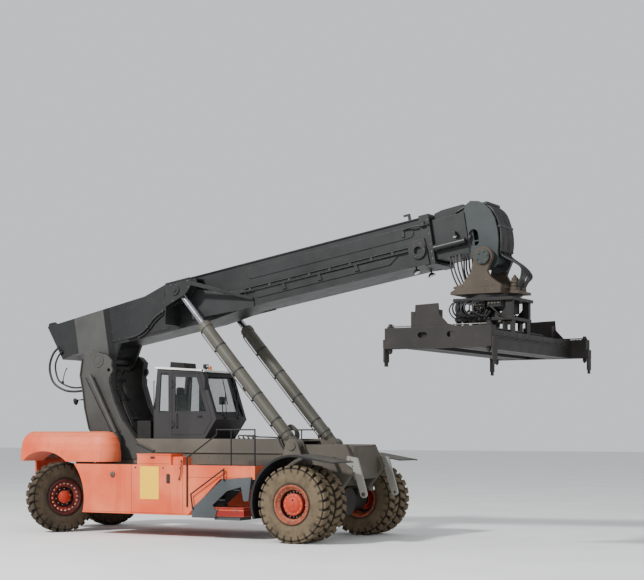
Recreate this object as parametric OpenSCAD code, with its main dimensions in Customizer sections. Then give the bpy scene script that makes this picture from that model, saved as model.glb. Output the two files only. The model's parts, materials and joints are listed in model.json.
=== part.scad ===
// Reach stacker: wheeled container handler with a telescopic boom and a top spreader.
// Millimetres, +Z up, +X the way the machine faces. The origin is on the ground
// under the middle of the machine's outline.

/* [Chassis] */
// Distance between the two axles
wheelbase = 7590; // [6900:10:8200]
// Width over the two side beams of the frame
frame_w = 1540; // [1400:10:1640]
// Thickness of a frame side beam
beam_t = 170; // [120:10:200]
// Height of the deck above the ground
deck_z = 2380; // [2300:10:2480]
// Height of the underside of the side beams
frame_floor_z = 1180; // [1100:10:1300]
// From the rear axle back to the end of the counterweight
rear_overhang = 1160; // [1100:10:1300]
// Width over the counterweight and the side tanks
body_w = 3400; // [3300:10:3600]
// Corner radius of the counterweight in plan
counterweight_r = 760; // [500:10:900]
// Top of the counterweight
counterweight_top_z = 2560; // [2450:10:2650]
// Underside of the side tanks
tank_floor_z = 540; // [450:10:700]
// Top of the side tanks
tank_top_z = 1750; // [1650:10:1850]
// Length of a side tank along its underside
tank_l = 3170; // [2800:10:3300]

/* [Wheels] */
// Tyre diameter
tyre_d = 1790; // [1740:10:1800]
// Tyre width
tyre_w = 460; // [420:10:480]
// Rim flange diameter
rim_d = 868; // [840:2:890]
// Lugs on each shoulder of a tyre
lug_count = 24; // [18:1:28]
// Height of a lug
lug_h = 34; // [25:1:45]
// Distance between the middles of the two tyres of a pair
twin_spacing = 580; // [540:10:620]
// Distance between the middles of the outer front tyres
front_track = 3860; // [3800:10:3960]
// Distance between the two kingpins
kingpin_track = 2400; // [2360:10:2480]
// From the kingpin out to the middle of a steered tyre
kingpin_offset = 380; // [370:5:420]
// Turn of the right steered wheel as the machine stands, degrees
steer_right = 62; // [0:1:65]
// Turn of the left steered wheel as the machine stands, degrees
steer_left = 52; // [0:1:60]
// Radius of the rear wheel arch in the counterweight
arch_r = 1160; // [1130:10:1200]

/* [Boom] */
// Boom pitch as the machine stands, degrees
boom_pitch = 9.4; // [4:0.2:14]
// Boom pivot, forward of the rear axle
pivot_forward = 1040; // [980:10:1100]
// Boom pivot above the ground
pivot_z = 4380; // [4300:10:4450]
// Radius of the boom pivot pin
pivot_pin_r = 120; // [100:5:140]
// Width of the outer boom
boom_w = 1000; // [900:10:1040]
// Plate thickness of the outer boom
boom_t = 30; // [20:1:40]
// Length of the outer boom ahead of its pivot
boom_l = 9600; // [9200:10:9900]
// Top of the boom above its pivot line
boom_top = 1555; // [1500:5:1600]
// Underside of the outer boom above its pivot line
boom_bottom = 470; // [440:5:500]
// Gap between the outer boom and the inner boom
boom_gap = 22; // [15:1:30]
// Head pin along the boom from the pivot
head_pin_s = 10786; // [10700:2:10900]
// Head pin above the pivot line
head_pin_t = 313; // [280:1:340]
// Radius of the head pin
head_pin_r = 90; // [70:5:110]

/* [Lift cylinders] */
// Sideways place of each lift cylinder
lift_y = 960; // [940:5:1000]
// Lower pin of the cylinders, behind the front axle
lift_foot_back = 600; // [540:10:660]
// Lower pin of the cylinders above the ground
lift_foot_z = 2220; // [2180:10:2260]
// Rod pin along the boom from the pivot
lift_eye_s = 2850; // [2800:10:2900]
// Rod pin above the pivot line
lift_eye_t = 1220; // [1180:5:1240]
// Outer radius of a barrel
barrel_r = 150; // [120:5:160]
// Length from the lower pin to the gland
barrel_l = 3930; // [3850:10:4000]
// Radius of a rod
rod_r = 85; // [70:5:95]

/* [Spreader] */
// Length of the spreader at rest, over its two end beams
spreader_l = 6060; // [6000:10:6100]
// Width of the spreader over its corners
spreader_w = 2440; // [2400:10:2500]
// Underside of the end beams above the ground
spreader_z = 4310; // [4250:10:4350]
// Height of an end beam
end_beam_h = 440; // [380:10:460]
// Thickness of an end beam along the spreader
end_beam_t = 260; // [220:10:300]
// Height of the spreader's main beams
main_beam_h = 420; // [380:10:460]
// Width of one main beam
main_beam_w = 270; // [240:10:280]
// Plate thickness of the main beams
main_beam_t = 25; // [15:1:30]
// How far each side can run out
arm_stroke = 3050; // [2900:10:3100]

/* [Cab] */
// Width of the cab
cab_w = 1400; // [1300:10:1440]
// Rear wall of the cab, forward of the rear axle
cab_back = 2720; // [2650:10:2800]
// Length of the cab at its sill
cab_l = 1880; // [1800:10:1900]
// Height of the cab over the deck
cab_h = 1790; // [1700:10:1850]
// Thickness of the cab's walls
cab_t = 50; // [40:5:70]

/* [Hidden] */
$fn = 48;

// Clearances
run_gap = 0.5;      // a pin in its bore
seat_gap = 0.3;     // a sliding face on its seat
free_gap = 8;       // moving pieces that pass each other

// Places along the machine: s runs along the boom, t stands on it
axle_z = tyre_d / 2;
head_x = pivot_forward + head_pin_s * cos(boom_pitch) - head_pin_t * sin(boom_pitch);
head_z = pivot_z + head_pin_s * sin(boom_pitch) + head_pin_t * cos(boom_pitch);
guide_out = 45;
machine_l = rear_overhang + head_x + spreader_w / 2 + guide_out;
rear_axle_x = rear_overhang - machine_l / 2;
front_axle_x = rear_axle_x + wheelbase;
rear_end_x = rear_axle_x - rear_overhang;
pivot_x = rear_axle_x + pivot_forward;
rotator_x = rear_axle_x + head_x;
foot_x = front_axle_x - lift_foot_back;
frame_front_x = front_axle_x + 900;
frame_half = frame_w / 2;
body_half = body_w / 2;
frame_mid_z = 1660;
front_step = 130;
front_deck_z = deck_z - front_step;
tank_arch_r = 1300;
tank_back_x = rear_axle_x + sqrt(pow(tank_arch_r, 2) - pow(axle_z - tank_floor_z, 2));
tank_front_x = tank_back_x + tank_l;
tank_nose_x = tank_front_x + 950;
tank_nose_z = 1430;
cab_back_x = rear_axle_x + cab_back;

// Lift cylinder line, from its lower pin to the rod pin
eye_x = pivot_x + lift_eye_s * cos(boom_pitch) - lift_eye_t * sin(boom_pitch);
eye_z = pivot_z + lift_eye_s * sin(boom_pitch) + lift_eye_t * cos(boom_pitch);
lift_tilt = atan2(eye_z - lift_foot_z, eye_x - foot_x);
lift_len = norm([eye_x - foot_x, eye_z - lift_foot_z]);

// Both sides of the machine, or copies turned about an axis
module both_sides() {
    children();
    mirror([0, 1, 0]) children();
}

// A plate that stands in the X-Z plane, between two sideways places
module plate_xz(points, y0, y1)
    translate([0, y1, 0])
        rotate([90, 0, 0])
            linear_extrude(height = y1 - y0)
                polygon(points);

// A round bar across the machine
module bar_y(r, y0, y1)
    translate([0, y1, 0])
        rotate([90, 0, 0])
            cylinder(h = y1 - y0, r = r);

// A box between two corners
module block(low, high)
    translate(low)
        cube(high - low);

// Points of an arc, and of a bar with two round ends
function arc(x, z, r, a0, a1, n = 8) = [
    for (i = [0 : n])
        let (a = a0 + (a1 - a0) * i / n) [x + r * cos(a), z + r * sin(a)]
];
function round_bar(x0, x1, z0, z1) = concat(
    arc(x1 - (z1 - z0) / 2, (z0 + z1) / 2, (z1 - z0) / 2, -90, 90),
    arc(x0 + (z1 - z0) / 2, (z0 + z1) / 2, (z1 - z0) / 2, 90, 270)
);

// Outline points given from the rear axle, and a band that follows an edge
function from_rear(points) = [for (p = points) [rear_axle_x + p[0], p[1]]];
function edge_band(points, step) = concat(
    points,
    [for (i = [len(points) - 1 : -1 : 0]) points[i] + step]
);

// The boom's own frame, with its pivot at the origin
module on_boom()
    translate([pivot_x, 0, pivot_z])
        rotate([0, -boom_pitch, 0])
            children();

// The lift cylinders' own frame: X runs from the lower pin to the rod pin
module on_lift()
    translate([foot_x, 0, lift_foot_z])
        rotate([0, -lift_tilt, 0])
            children();

// A steered wheel's frame: the kingpin at the origin, the wheel out along -Y
module on_kingpin_right(turn = steer_right)
    translate([rear_axle_x, -kingpin_track / 2, axle_z])
        rotate([0, 0, turn])
            children();

module on_kingpin_left(turn = steer_left)
    translate([rear_axle_x, kingpin_track / 2, axle_z])
        rotate([0, 0, turn])
            mirror([0, 1, 0])
                children();

// Wheels: a wheel's own frame has its axis along Y and its outer face towards -Y

// One shoulder's ring of lugs as a toothed outline
function lug_ring(r_low, r_high, n, land) = [
    for (i = [0 : n - 1])
        for (e = [[0, r_low], [0.06, r_high], [land - 0.06, r_high], [land, r_low]])
            let (a = 360 * (i + e[0]) / n) [e[1] * cos(a), e[1] * sin(a)]
];

module tyre() {
    bead_r = rim_d / 2;
    crown_r = tyre_d / 2 - lug_h;
    half = tyre_w / 2;
    shoulder = 55;
    rotate([90, 0, 0])
        rotate_extrude($fn = 72)
            polygon([
                [bead_r, -half + 55], [bead_r + 60, -half + 12], [bead_r + 200, -half],
                [crown_r - 80, -half + 8], [crown_r - 8, -half + shoulder],
                [crown_r - 8, half - shoulder], [crown_r - 80, half - 8],
                [bead_r + 200, half], [bead_r + 60, half - 12], [bead_r, half - 55]
            ]);
    for (k = [0, 1])
        rotate([0, 180 * k / lug_count, 0])
            translate([0, k == 0 ? 0 : half - 14, 0])
                rotate([90, 0, 0])
                    linear_extrude(height = half - 14)
                        difference() {
                            polygon(lug_ring(crown_r, tyre_d / 2, lug_count, 0.6));
                            circle(r = crown_r - 90, $fn = 36);
                        }
}

// Rim: a barrel with two flanges, a dish with a lip, a disc and a hub
module rim(disc_y, hub_r, hub_y0, hub_y1, lip_r) {
    half = tyre_w / 2;
    bead = rim_d / 2;
    well = bead - 62;
    rotate([90, 0, 0])
        rotate_extrude($fn = 72)
            polygon([
                [well + 17, -half + 60], [bead - 1, -half + 60], [bead - 1, -half + 30],
                [bead + 22, -half + 4], [bead - 22, -half + 4], [well, -half + 60],
                [well, half - 120], [lip_r, half - 120], [lip_r, half - 85], [bead - 30, half - 22],
                [bead - 22, half - 4], [bead + 22, half - 4],
                [bead - 1, half - 30], [bead - 1, half - 60], [well + 17, half - 60]
            ]);
    bar_y(bead - 50, disc_y, disc_y + 30);
    bar_y(hub_r, hub_y0, hub_y1);
    bar_y(hub_r * 0.72, hub_y0 - 22, hub_y0 + 1);
}

// Chassis

side_beam = [
    [rear_axle_x - 900, frame_mid_z + 230], [rear_axle_x - 900, deck_z - 120],
    [rear_axle_x + 550, deck_z], [front_axle_x - 800, deck_z],
    [front_axle_x - 560, front_deck_z], [frame_front_x - 250, front_deck_z],
    [frame_front_x, frame_mid_z + 70], [frame_front_x - 15, frame_mid_z],
    [front_axle_x + 500, frame_floor_z], [front_axle_x - 700, frame_floor_z],
    [rear_axle_x + 1750, frame_floor_z], [rear_axle_x + 1250, frame_mid_z + 150],
    [rear_axle_x + 900, frame_mid_z + 230]
];
// Ledge along each side
ledge_w = 35;
ledge_z = 2030;
ledge_t = 40;
tower_toe = 2825;

module chassis_frame() color("dimgray") {
    inner = frame_half - beam_t;
    both_sides() {
        plate_xz(side_beam, -frame_half, -frame_half + beam_t);
        // Ledge along the side, from the foot of the tower to the cylinder's foot
        block([rear_axle_x + tower_toe, -frame_half - ledge_w, ledge_z],
            [foot_x - 350, -frame_half, ledge_z + ledge_t]);
    }
    // Cross members: rear face, front face, underside, top
    for (c = [
            [rear_axle_x - 900, rear_axle_x - 700, frame_mid_z + 230, deck_z - 140],
            [rear_axle_x - 260, rear_axle_x + 260, frame_mid_z + 230, frame_mid_z + 430],
            [rear_axle_x + 1900, rear_axle_x + 2060, frame_floor_z, deck_z - 60],
            [front_axle_x - 1700, front_axle_x - 1560, frame_floor_z, deck_z - 60],
            [front_axle_x - 300, front_axle_x + 300, frame_floor_z + 80, frame_floor_z + 400],
            [front_axle_x + 620, front_axle_x + 780, frame_floor_z + 260, front_deck_z - 60]
        ])
        block([c[0], -inner, c[2]], [c[1], inner, c[3]]);
    block([rear_axle_x + 2000, -inner, deck_z - 60], [front_axle_x - 800, inner, deck_z - 40]);
    block([front_axle_x - 560, -inner, front_deck_z - 60], [front_axle_x + 700, inner, front_deck_z - 40]);
    block([rear_axle_x + 1900, -inner, frame_floor_z], [front_axle_x - 450, inner, frame_floor_z + 20]);
}

tower_leg_t = 180;
tower_skin_t = 20;
// How far the flanges stand out from the frame's side
tower_flange = 60;
// Lug on the front edge of each leg, from the rear axle
lug_x = 1375;
lug_z = 4130;
tower_lug_r = 120;
// Edges of a leg: rear, top and front, as points from the rear axle
tower_rear = [[1395, 1860], [755, 2620], [615, 3140], [555, 3600], [465, 4000], [535, pivot_z + 50]];
tower_top = [[655, pivot_z + 140], [985, pivot_z + 225], [1330, pivot_z + 130], [1475, pivot_z - 10]];
tower_front = [[1415, 3950], [1415, 3790], [1595, 3260], [1835, 2810], [2275, 2290], [tower_toe, 2090]];
tower_outline = from_rear(concat(tower_rear, tower_top, tower_front, [[tower_toe, 2050], [2200, 1860]]));

module boom_tower() color("gray") {
    flange_y = -frame_half - tower_flange;
    skin_y = -frame_half - tower_skin_t;
    both_sides()
        difference() {
            union() {
                plate_xz(tower_outline, skin_y, -frame_half);
                intersection() {
                    plate_xz(tower_outline, -frame_half, -frame_half + tower_leg_t);
                    block([pivot_x - 2000, -frame_half, deck_z], [pivot_x + 3000, 0, pivot_z + 1000]);
                }
                // Flanges along the front and rear edges, and the two ribs of the pipe's channel
                plate_xz(from_rear(edge_band(tower_front, [-28, -26])), flange_y, skin_y + 1);
                plate_xz(from_rear(edge_band(tower_rear, [26, 8])), flange_y, skin_y + 1);
                for (x = [[625, 1445], [875, 1745]])
                    plate_xz(from_rear([[x[0], 3950], [x[0] + 26, 3950], [x[1] + 26, 2560], [x[1], 2560]]),
                        flange_y, skin_y + 1);
                translate([rear_axle_x + lug_x, 0, lug_z])
                    bar_y(tower_lug_r, skin_y, -frame_half + 70);
                // Ring round the pivot pin
                translate([pivot_x, 0, pivot_z])
                    bar_y(pivot_pin_r + 55, skin_y - 14, skin_y + 1);
            }
            translate([pivot_x, 0, pivot_z])
                bar_y(pivot_pin_r + run_gap, -frame_half - 3 * tower_skin_t, 0);
            translate([rear_axle_x + lug_x, 0, lug_z])
                bar_y(45, skin_y - 1, -frame_half + 71);
        }
    block([rear_axle_x + 1500, -frame_half + tower_leg_t, deck_z],
        [rear_axle_x + 1650, frame_half - tower_leg_t, deck_z + 300]);
}

fender_r = 450;
fender_end = 2045;
// The domed top starts at a seam, drawn in a little
seam_z = 2070;
seam_in = 12;
dome_in = 330;
weight_floor_z = 1800;
canister_x = 1715;
canister_y = 950;
canister_r = 150;

// Section of the counterweight: an upright wall, a seam and a domed top
function weight_edge(r) = concat(
    [[r, weight_floor_z], [r, seam_z]],
    [for (a = [0 : 22.5 : 90]) [
        r - seam_in - dome_in * (1 - cos(a)),
        seam_z + (counterweight_top_z - seam_z) * sin(a)
    ]]
);

module weight_corner(x, y, r)
    translate([x, y, 0])
        rotate_extrude()
            polygon(concat([[0, weight_floor_z]], weight_edge(r), [[0, counterweight_top_z]]));

// A length of that section along X, domed on both sides
module weight_bar(length, r) {
    edge = weight_edge(r);
    rotate([90, 0, 90])
        linear_extrude(height = length)
            polygon(concat(edge, [for (i = [len(edge) - 1 : -1 : 0]) [-edge[i][0], edge[i][1]]]));
}

module counterweight() color([0.88, 0.50, 0.36]) {
    corner_x = rear_end_x + counterweight_r;
    corner_y = body_half - counterweight_r;
    fender_y = body_half - fender_r;
    fender_x = rear_axle_x + fender_end - fender_r;
    cut_half = frame_half + tower_flange + 15;
    difference() {
        union() {
            translate([corner_x, -corner_y, 0])
                rotate([0, 0, 90])
                    weight_bar(2 * corner_y, counterweight_r);
            for (m = [-1, 1]) {
                weight_corner(corner_x, m * corner_y, counterweight_r);
                translate([corner_x, m * fender_y, 0])
                    weight_bar(fender_x - corner_x, fender_r);
                weight_corner(fender_x, m * fender_y, fender_r);
            }
        }
        translate([rear_axle_x, 0, axle_z])
            bar_y(arch_r, -body_w, body_w);
        block([rear_axle_x - 700, -cut_half, 0], [rear_axle_x + 2600, cut_half, 3000]);
        block([rear_axle_x + canister_x - canister_r - 60, -canister_y - canister_r - 30, 0],
            [rear_axle_x + 2600, canister_y + canister_r + 30, 3000]);
        plate_xz(side_beam, -frame_half, frame_half);
        block([rear_axle_x - 900, -frame_half, 0], [rear_axle_x - 600, frame_half, frame_mid_z + 240]);
    }
    // Lower rear panel, notched for the tow jaw and the pin that drops out below it
    difference() {
        block([rear_end_x + 5, -650, rear_panel_z], [rear_axle_x - 1100, 650, weight_floor_z + 2]);
        block([rear_end_x, -tow_half, rear_panel_z - 1],
            [rear_end_x + tow_jaw, tow_half, tow_z + tow_jaw_h]);
    }
}

module side_tank() {
    difference() {
        plate_xz([
            [rear_axle_x + 600, tank_floor_z], [tank_front_x, tank_floor_z],
            [tank_nose_x, tank_nose_z], [front_axle_x - 1250, tank_nose_z],
            [front_axle_x - 1250, tank_top_z], [rear_axle_x + 600, tank_top_z]
        ], -body_half, -frame_half);
        translate([rear_axle_x, 0, axle_z])
            bar_y(tank_arch_r, -body_w, body_w, $fn = 120);
    }
}

module tank_right() color([0.88, 0.50, 0.36]) side_tank();
module tank_left() color([0.88, 0.50, 0.36]) mirror([0, 1, 0]) side_tank();

module battery_box() color([0.88, 0.50, 0.36]) {
    block([rear_axle_x + 2950, -body_half, tank_top_z], [rear_axle_x + 3950, -body_half + 500, 2000]);
    block([rear_axle_x + 2935, -body_half - 12, 1990], [rear_axle_x + 3965, -body_half + 512, 2015]);
    block([rear_axle_x + 3949, -body_half + 60, tank_top_z], [rear_axle_x + 4260, -body_half + 420, 1950]);
    // Tool box between the lower steps
    block([tank_front_x + 684, -body_half - 40 + stringer_t, 550],
        [tank_front_x + 1614, -body_half - 40 + step_w, 760]);
}

engine_l = 1200;

module engine_block() color("darkslategray")
    block([front_axle_x - 1890 - engine_l, -430, frame_floor_z + 20],
        [front_axle_x - 1890, 430, deck_z - 130]);

axle_r = 240;
spindle_r = 150;
inner_twin_y = front_track / 2 - twin_spacing;

module drive_axle() color("dimgray") {
    hub_y = inner_twin_y - tyre_w / 2 - 30;
    translate([front_axle_x, 0, axle_z]) {
        bar_y(axle_r, -hub_y, hub_y);
        rotate([0, 90, 0])
            translate([0, 0, -420])
                cylinder(h = 760, r = 330);
        bar_y(spindle_r, -front_track / 2 + 60, front_track / 2 - 60);
        both_sides()
            block([-260, -frame_half, 150], [260, -frame_half + beam_t, frame_floor_z - axle_z]);
    }
}

module steer_axle() color("dimgray") {
    k = kingpin_track / 2;
    translate([rear_axle_x, 0, axle_z]) {
        block([-220, -k + 330, -200], [220, k - 330, 200]);
        both_sides()
            for (z = [-200, 130])
                translate([0, 0, z])
                    difference() {
                        union() {
                            translate([0, -k, 0])
                                cylinder(h = 70, r = 125);
                            block([-125, -k, 0], [125, -k + 340, 70]);
                        }
                        translate([0, -k, -1])
                            cylinder(h = 72, r = 60 + run_gap);
                    }
        block([-150, -200, 199], [150, 200, frame_mid_z + 230 - axle_z]);
    }
}

module knuckle() {
    cylinder(h = 400, r = 60, center = true);
    translate([0, 0, -120])
        cylinder(h = 240, r = 125);
    bar_y(110, -kingpin_offset - 60, 0);
    bar_y(200, -190, -150);
}

module knuckle_right() color("dimgray") on_kingpin_right() knuckle();
module knuckle_left() color("dimgray") on_kingpin_left() knuckle();

module rear_wheel_place() translate([0, -kingpin_offset, 0]) children();

module rear_tyre_right() color("darkslategray") on_kingpin_right() rear_wheel_place() tyre();
module rear_tyre_left() color("darkslategray") on_kingpin_left() rear_wheel_place() tyre();

module rear_rim() rear_wheel_place() difference() {
    rim(-90, 160, -tyre_w / 2 + 30, 60, 260);
    bar_y(110 + run_gap, -70, 400);
}
module rear_rim_right() color("orangered") on_kingpin_right() rear_rim();
module rear_rim_left() color("orangered") on_kingpin_left() rear_rim();

module at_twin(outer) translate([front_axle_x, -front_track / 2 + (outer ? 0 : twin_spacing), axle_z])
    children();

module front_tyres() {
    at_twin(true) tyre();
    at_twin(false) tyre();
}
module front_tyres_right() color([0.55, 0.50, 0.42]) front_tyres();
module front_tyres_left() color([0.55, 0.50, 0.42]) mirror([0, 1, 0]) front_tyres();

module front_rims() difference() {
    union() {
        at_twin(true) rim(60, 250, -140, 90, 330);
        at_twin(false) rim(-120, 210, -230, 0, 330);
        at_twin(true)
            bar_y(300, 85, twin_spacing - 115);
    }
    translate([front_axle_x, 0, axle_z])
        bar_y(spindle_r + run_gap, -front_track / 2 + 55, 0);
}
module front_rims_right() color("orangered") front_rims();
module front_rims_left() color("orangered") mirror([0, 1, 0]) front_rims();

mudguard_r = 1090;
mudguard_t = 24;

module mudguards() color("black") {
    inner_y = max(inner_twin_y - tyre_w / 2 + 40, lift_y + 240);
    outer_y = front_track / 2 + tyre_w / 2 + 10;
    cx = front_axle_x + 25;
    cz = axle_z + 25;
    nose = [front_axle_x + 1095, cz + 950];
    both_sides() {
        block([front_axle_x + 300, -inner_y - 30, cz + 980], [front_axle_x + 380, -frame_half, cz + 1040]);
        block([front_axle_x - 990, -inner_y - 30, 1400], [front_axle_x - 935, -frame_half, 1495]);
        plate_xz(concat(
            [nose], arc(cx, cz, mudguard_r + mudguard_t, 80, 200, 20),
            arc(cx, cz, mudguard_r, 200, 80, 20), [nose - [0, mudguard_t]]
        ), -outer_y, -inner_y);
        // Rolled lip along the outer edge
        plate_xz(concat(
            [nose], arc(cx, cz, mudguard_r + 5, 80, 200, 20),
            arc(cx, cz, mudguard_r - 32, 200, 80, 20), [nose - [0, 36]]
        ), -outer_y, -outer_y + 14);
    }
}

step_w = 620;
stringer_t = 24;

module step_set() {
    y0 = -body_half - 40;
    x = tank_front_x;
    // The inner stringer stays clear of the tank that the outer one stands beside
    function stringer(rear_x, front_z) = [
        [x + 164, 500], [x + rear_x, 730], [x + 1024, 1420], [x + 1844, front_z], [x + 1764, 920],
        [x + 1624, 920], [x + 1554, 1250], [x + 1164, 1150], [x + 754, 810], [x + 874, 660], [x + 824, 500]
    ];
    slant = (tank_nose_x - tank_front_x) / (tank_nose_z - tank_floor_z);
    plate_xz(stringer(184, 1490), y0, y0 + stringer_t);
    plate_xz(stringer(214, 1425), y0 + step_w, y0 + step_w + stringer_t);
    for (z = [640, 940, 1240])
        block([x + (z + 30 - tank_floor_z) * slant + 20, y0 + stringer_t - 1, z],
            [x + (z + 30 - tank_floor_z) * slant + 270, y0 + step_w + 1, z + 30]);
    block([x + 1030, y0 + stringer_t - 1, 1395], [x + 1840, y0 + step_w + 1, 1420]);
    block([x + 1250, y0 + step_w + 10, 1330], [x + 1450, -frame_half, 1395]);
    block([x + 774, y0 + 60, 460], [x + 1494, y0 + step_w - 60, 550]);
    block([x + 774, y0 + stringer_t - 1, 500], [x + 820, y0 + step_w + 1, 549]);
}
module steps_right() color("slategray") step_set();
module steps_left() color("slategray") mirror([0, 1, 0]) step_set();

rail_r = 18;
module rod_between(a, b, r) {
    d = b - a;
    translate(a)
        rotate([0, acos(d[2] / norm(d)), atan2(d[1], d[0])])
            cylinder(h = norm(d), r = r, $fn = 16);
}

// A rail bent at balls
module rail_path(points) {
    for (i = [0 : len(points) - 2])
        rod_between(points[i], points[i + 1], rail_r - i % 2);
    for (i = [1 : len(points) - 2])
        translate(points[i])
            sphere(r = rail_r + 2, $fn = 16);
}

module handrails() color("black") both_sides() {
    y = -body_half - rail_r - 2;
    top_y = -body_half + 40;
    post_x = tank_front_x + 14;
    rail_end = front_axle_x - 1275;
    rail_path([
        [post_x, y, 750], [post_x, y, 1930], [post_x + 810, top_y, 2480],
        [post_x + 810, top_y, 2600], [rail_end, top_y, 2600], [rail_end, top_y, tank_top_z]
    ]);
    rod_between([post_x + 1220, top_y, tank_top_z], [post_x + 1220, top_y, 2600], rail_r - 2);
    for (z = [850, 1600])
        rod_between([post_x, y, z], [post_x, -body_half, z], 10);
    // Lower rail beside the steps
    low_y = -body_half - 40 - rail_r - 12;
    rail_path([
        [tank_front_x + 210, low_y, 700], [tank_front_x + 160, low_y, 1060],
        [tank_front_x + 1100, low_y, 1670], [tank_front_x + 1100, low_y, 1395]
    ]);
    for (p = [[tank_front_x + 207, 722], [tank_front_x + 1100, 1408]])
        rod_between([p[0], low_y, p[1]], [p[0], -body_half - 40, p[1]], 10);
}

module tower_pipe() color("dimgray") {
    x = rear_axle_x + canister_x;
    pipe_y = -frame_half - 130;
    translate([x, -canister_y, tank_top_z])
        cylinder(h = 700, r = canister_r);
    translate([x, -canister_y, tank_top_z + 699])
        cylinder(h = 80, r = canister_r - 40);
    rod_between([x, -canister_y, tank_top_z + 770], [rear_axle_x + 860, pipe_y, 4000], 60);
    for (p = [[1330, 3050], [890, 3800]])
        block([rear_axle_x + p[0] - 40, pipe_y, p[1]],
            [rear_axle_x + p[0] + 40, -frame_half - tower_skin_t, p[1] + 50]);
    // Two light pipes inside the right leg
    for (y = [-440, -370])
        rod_between([rear_axle_x + 1345, y, 3730], [rear_axle_x + 1945, y, 2550], 26);
    for (p = [[1380, 3640], [1880, 2650]])
        block([rear_axle_x + p[0] - 30, -frame_half + tower_leg_t, p[1]],
            [rear_axle_x + p[0] + 30, -350, p[1] + 40]);
    // Filter housing behind the cab
    block([rear_axle_x + 2215, -700, deck_z], [rear_axle_x + 2625, -300, 2830]);
}

foot_pin_r = 80;
clevis_t = 45;
barrel_eye_w = 220;

module lift_feet() color("dimgray") both_sides() {
    cheek_y = lift_y + barrel_eye_w / 2 + free_gap + clevis_t;
    for (y = [-cheek_y, -lift_y + barrel_eye_w / 2 + free_gap])
        plate_xz(concat(
            [[foot_x - 330, frame_mid_z]], arc(foot_x, lift_foot_z, 170, 160, 10, 10),
            [[foot_x + 250, lift_foot_z - 180], [foot_x + 360, frame_mid_z]]
        ), y, y + clevis_t);
    block([foot_x - 320, -cheek_y, frame_mid_z], [foot_x + 350, -frame_half, frame_mid_z + 120]);
    translate([foot_x, 0, lift_foot_z]) {
        bar_y(foot_pin_r, -cheek_y - 20, -frame_half);
        bar_y(foot_pin_r + 25, -cheek_y - 24, -cheek_y + 1);
    }
}

module support_arms() color("gainsboro") both_sides() {
    x = frame_front_x;
    difference() {
        plate_xz(concat(
            [[x - 195, 1800], [x - 175, 1990], [x + 95, 1945], [x + 330, 1160]],
            arc(x + 255, 1105, 85, 20, -160),
            [[x + 155, 1150], [x - 25, 1700]]
        ), -frame_half - 60, -frame_half);
        translate([x + 255, 0, 1105])
            bar_y(32, -frame_half - 61, -frame_half + 1);
    }
    // Work lamps on their bracket under the frame's front
    for (z = [1180, 1390])
        translate([x - 400, 0, z])
            block([-60, -frame_half - 190, -60], [20, -frame_half - 50, 60]);
    block([x - 470, -frame_half - 120, 1120], [x - 455, -frame_half - 80, 1470]);
    block([x - 470, -frame_half - 120, 1440], [x - 440, -frame_half, 1470]);
}

tow_pin_r = 12;
tow_half = 130;
tow_z = 1250;
tow_jaw = 45;
tow_jaw_h = 300;
tow_jaw_t = 60;
rear_panel_z = 1150;
module tow_coupling() color("dimgray") {
    for (z = [tow_z, tow_z + tow_jaw_h - tow_jaw_t])
        difference() {
            block([rear_end_x, -tow_half, z], [rear_end_x + tow_jaw, tow_half, z + tow_jaw_t]);
            translate([rear_end_x + 20, 0, z - 1])
                cylinder(h = tow_jaw_t + 2, r = tow_pin_r);
        }
}

// Cab

cab_side = [
    [cab_back_x, deck_z], [cab_back_x + cab_l - 340, deck_z],
    [cab_back_x + cab_l, deck_z + 480], [cab_back_x + cab_l - 410, deck_z + cab_h - 90],
    [cab_back_x + 120, deck_z + cab_h], [cab_back_x, deck_z + 640]
];
door_outline = [
    [cab_back_x + 560, deck_z + 90], [cab_back_x + cab_l - 370, deck_z + 90],
    [cab_back_x + cab_l - 120, deck_z + 490], [cab_back_x + cab_l - 500, deck_z + cab_h - 180],
    [cab_back_x + 560, deck_z + cab_h - 150]
];
door_gap = 6;
door_t = 40;
hinge_r = 16;
hinge_pin_r = 8;
hinge_h = 110;
hinge_x = cab_back_x + 560 + door_gap + 10;
hinge_zs = [deck_z + 300, deck_z + 1300];

// Height of the sloping roof at a place behind the windscreen, with a seal's thickness on it
roof_seal = 0.1;
function roof_z(x) = deck_z + cab_h - 90 * (x - 120) / (cab_l - 530) + roof_seal;

module cab_shell() color("dimgray") {
    w = cab_w / 2;
    difference() {
        plate_xz(cab_side, -w, w);
        plate_xz([
            [cab_back_x + cab_t, deck_z + cab_t],
            [cab_back_x + cab_l - 340 - cab_t / 2, deck_z + cab_t],
            [cab_back_x + cab_l - cab_t, deck_z + 480],
            [cab_back_x + cab_l - 410 - cab_t, deck_z + cab_h - 90 - cab_t],
            [cab_back_x + 120 + cab_t, deck_z + cab_h - cab_t],
            [cab_back_x + cab_t, deck_z + 640]
        ], -w + cab_t, w - cab_t);
        plate_xz(door_outline, -w - 1, w + 1);
        plate_xz([
            [cab_back_x + 160, deck_z + 650], [cab_back_x + 460, deck_z + 650],
            [cab_back_x + 460, deck_z + cab_h - 140], [cab_back_x + 220, deck_z + cab_h - 130]
        ], -w - 1, w + 1);
        block([cab_back_x - 10, -w + 140, deck_z + 700], [cab_back_x + 200, w - 140, deck_z + cab_h - 180]);
        translate([cab_back_x + cab_l, 0, deck_z + 480])
            rotate([0, -atan2(410, cab_h - 570), 0])
                block([-cab_t * 2, -w + 90, 60], [200, w - 90, cab_h - 650]);
    }
    // Hinge pins and the lugs that carry them
    both_sides()
        for (z = hinge_zs)
            translate([hinge_x, -w - hinge_r, z]) {
                translate([0, 0, -30])
                    cylinder(h = hinge_h + 60, r = hinge_pin_r);
                for (dz = [-30, hinge_h + seat_gap])
                    translate([0, 0, dz]) {
                        cylinder(h = 30, r = hinge_r);
                        block([-60, 0, 0], [0, hinge_r - seat_gap, 30]);
                        block([-60, 0, 0], [-20, hinge_r + 5, 30]);
                    }
            }
}

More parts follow.
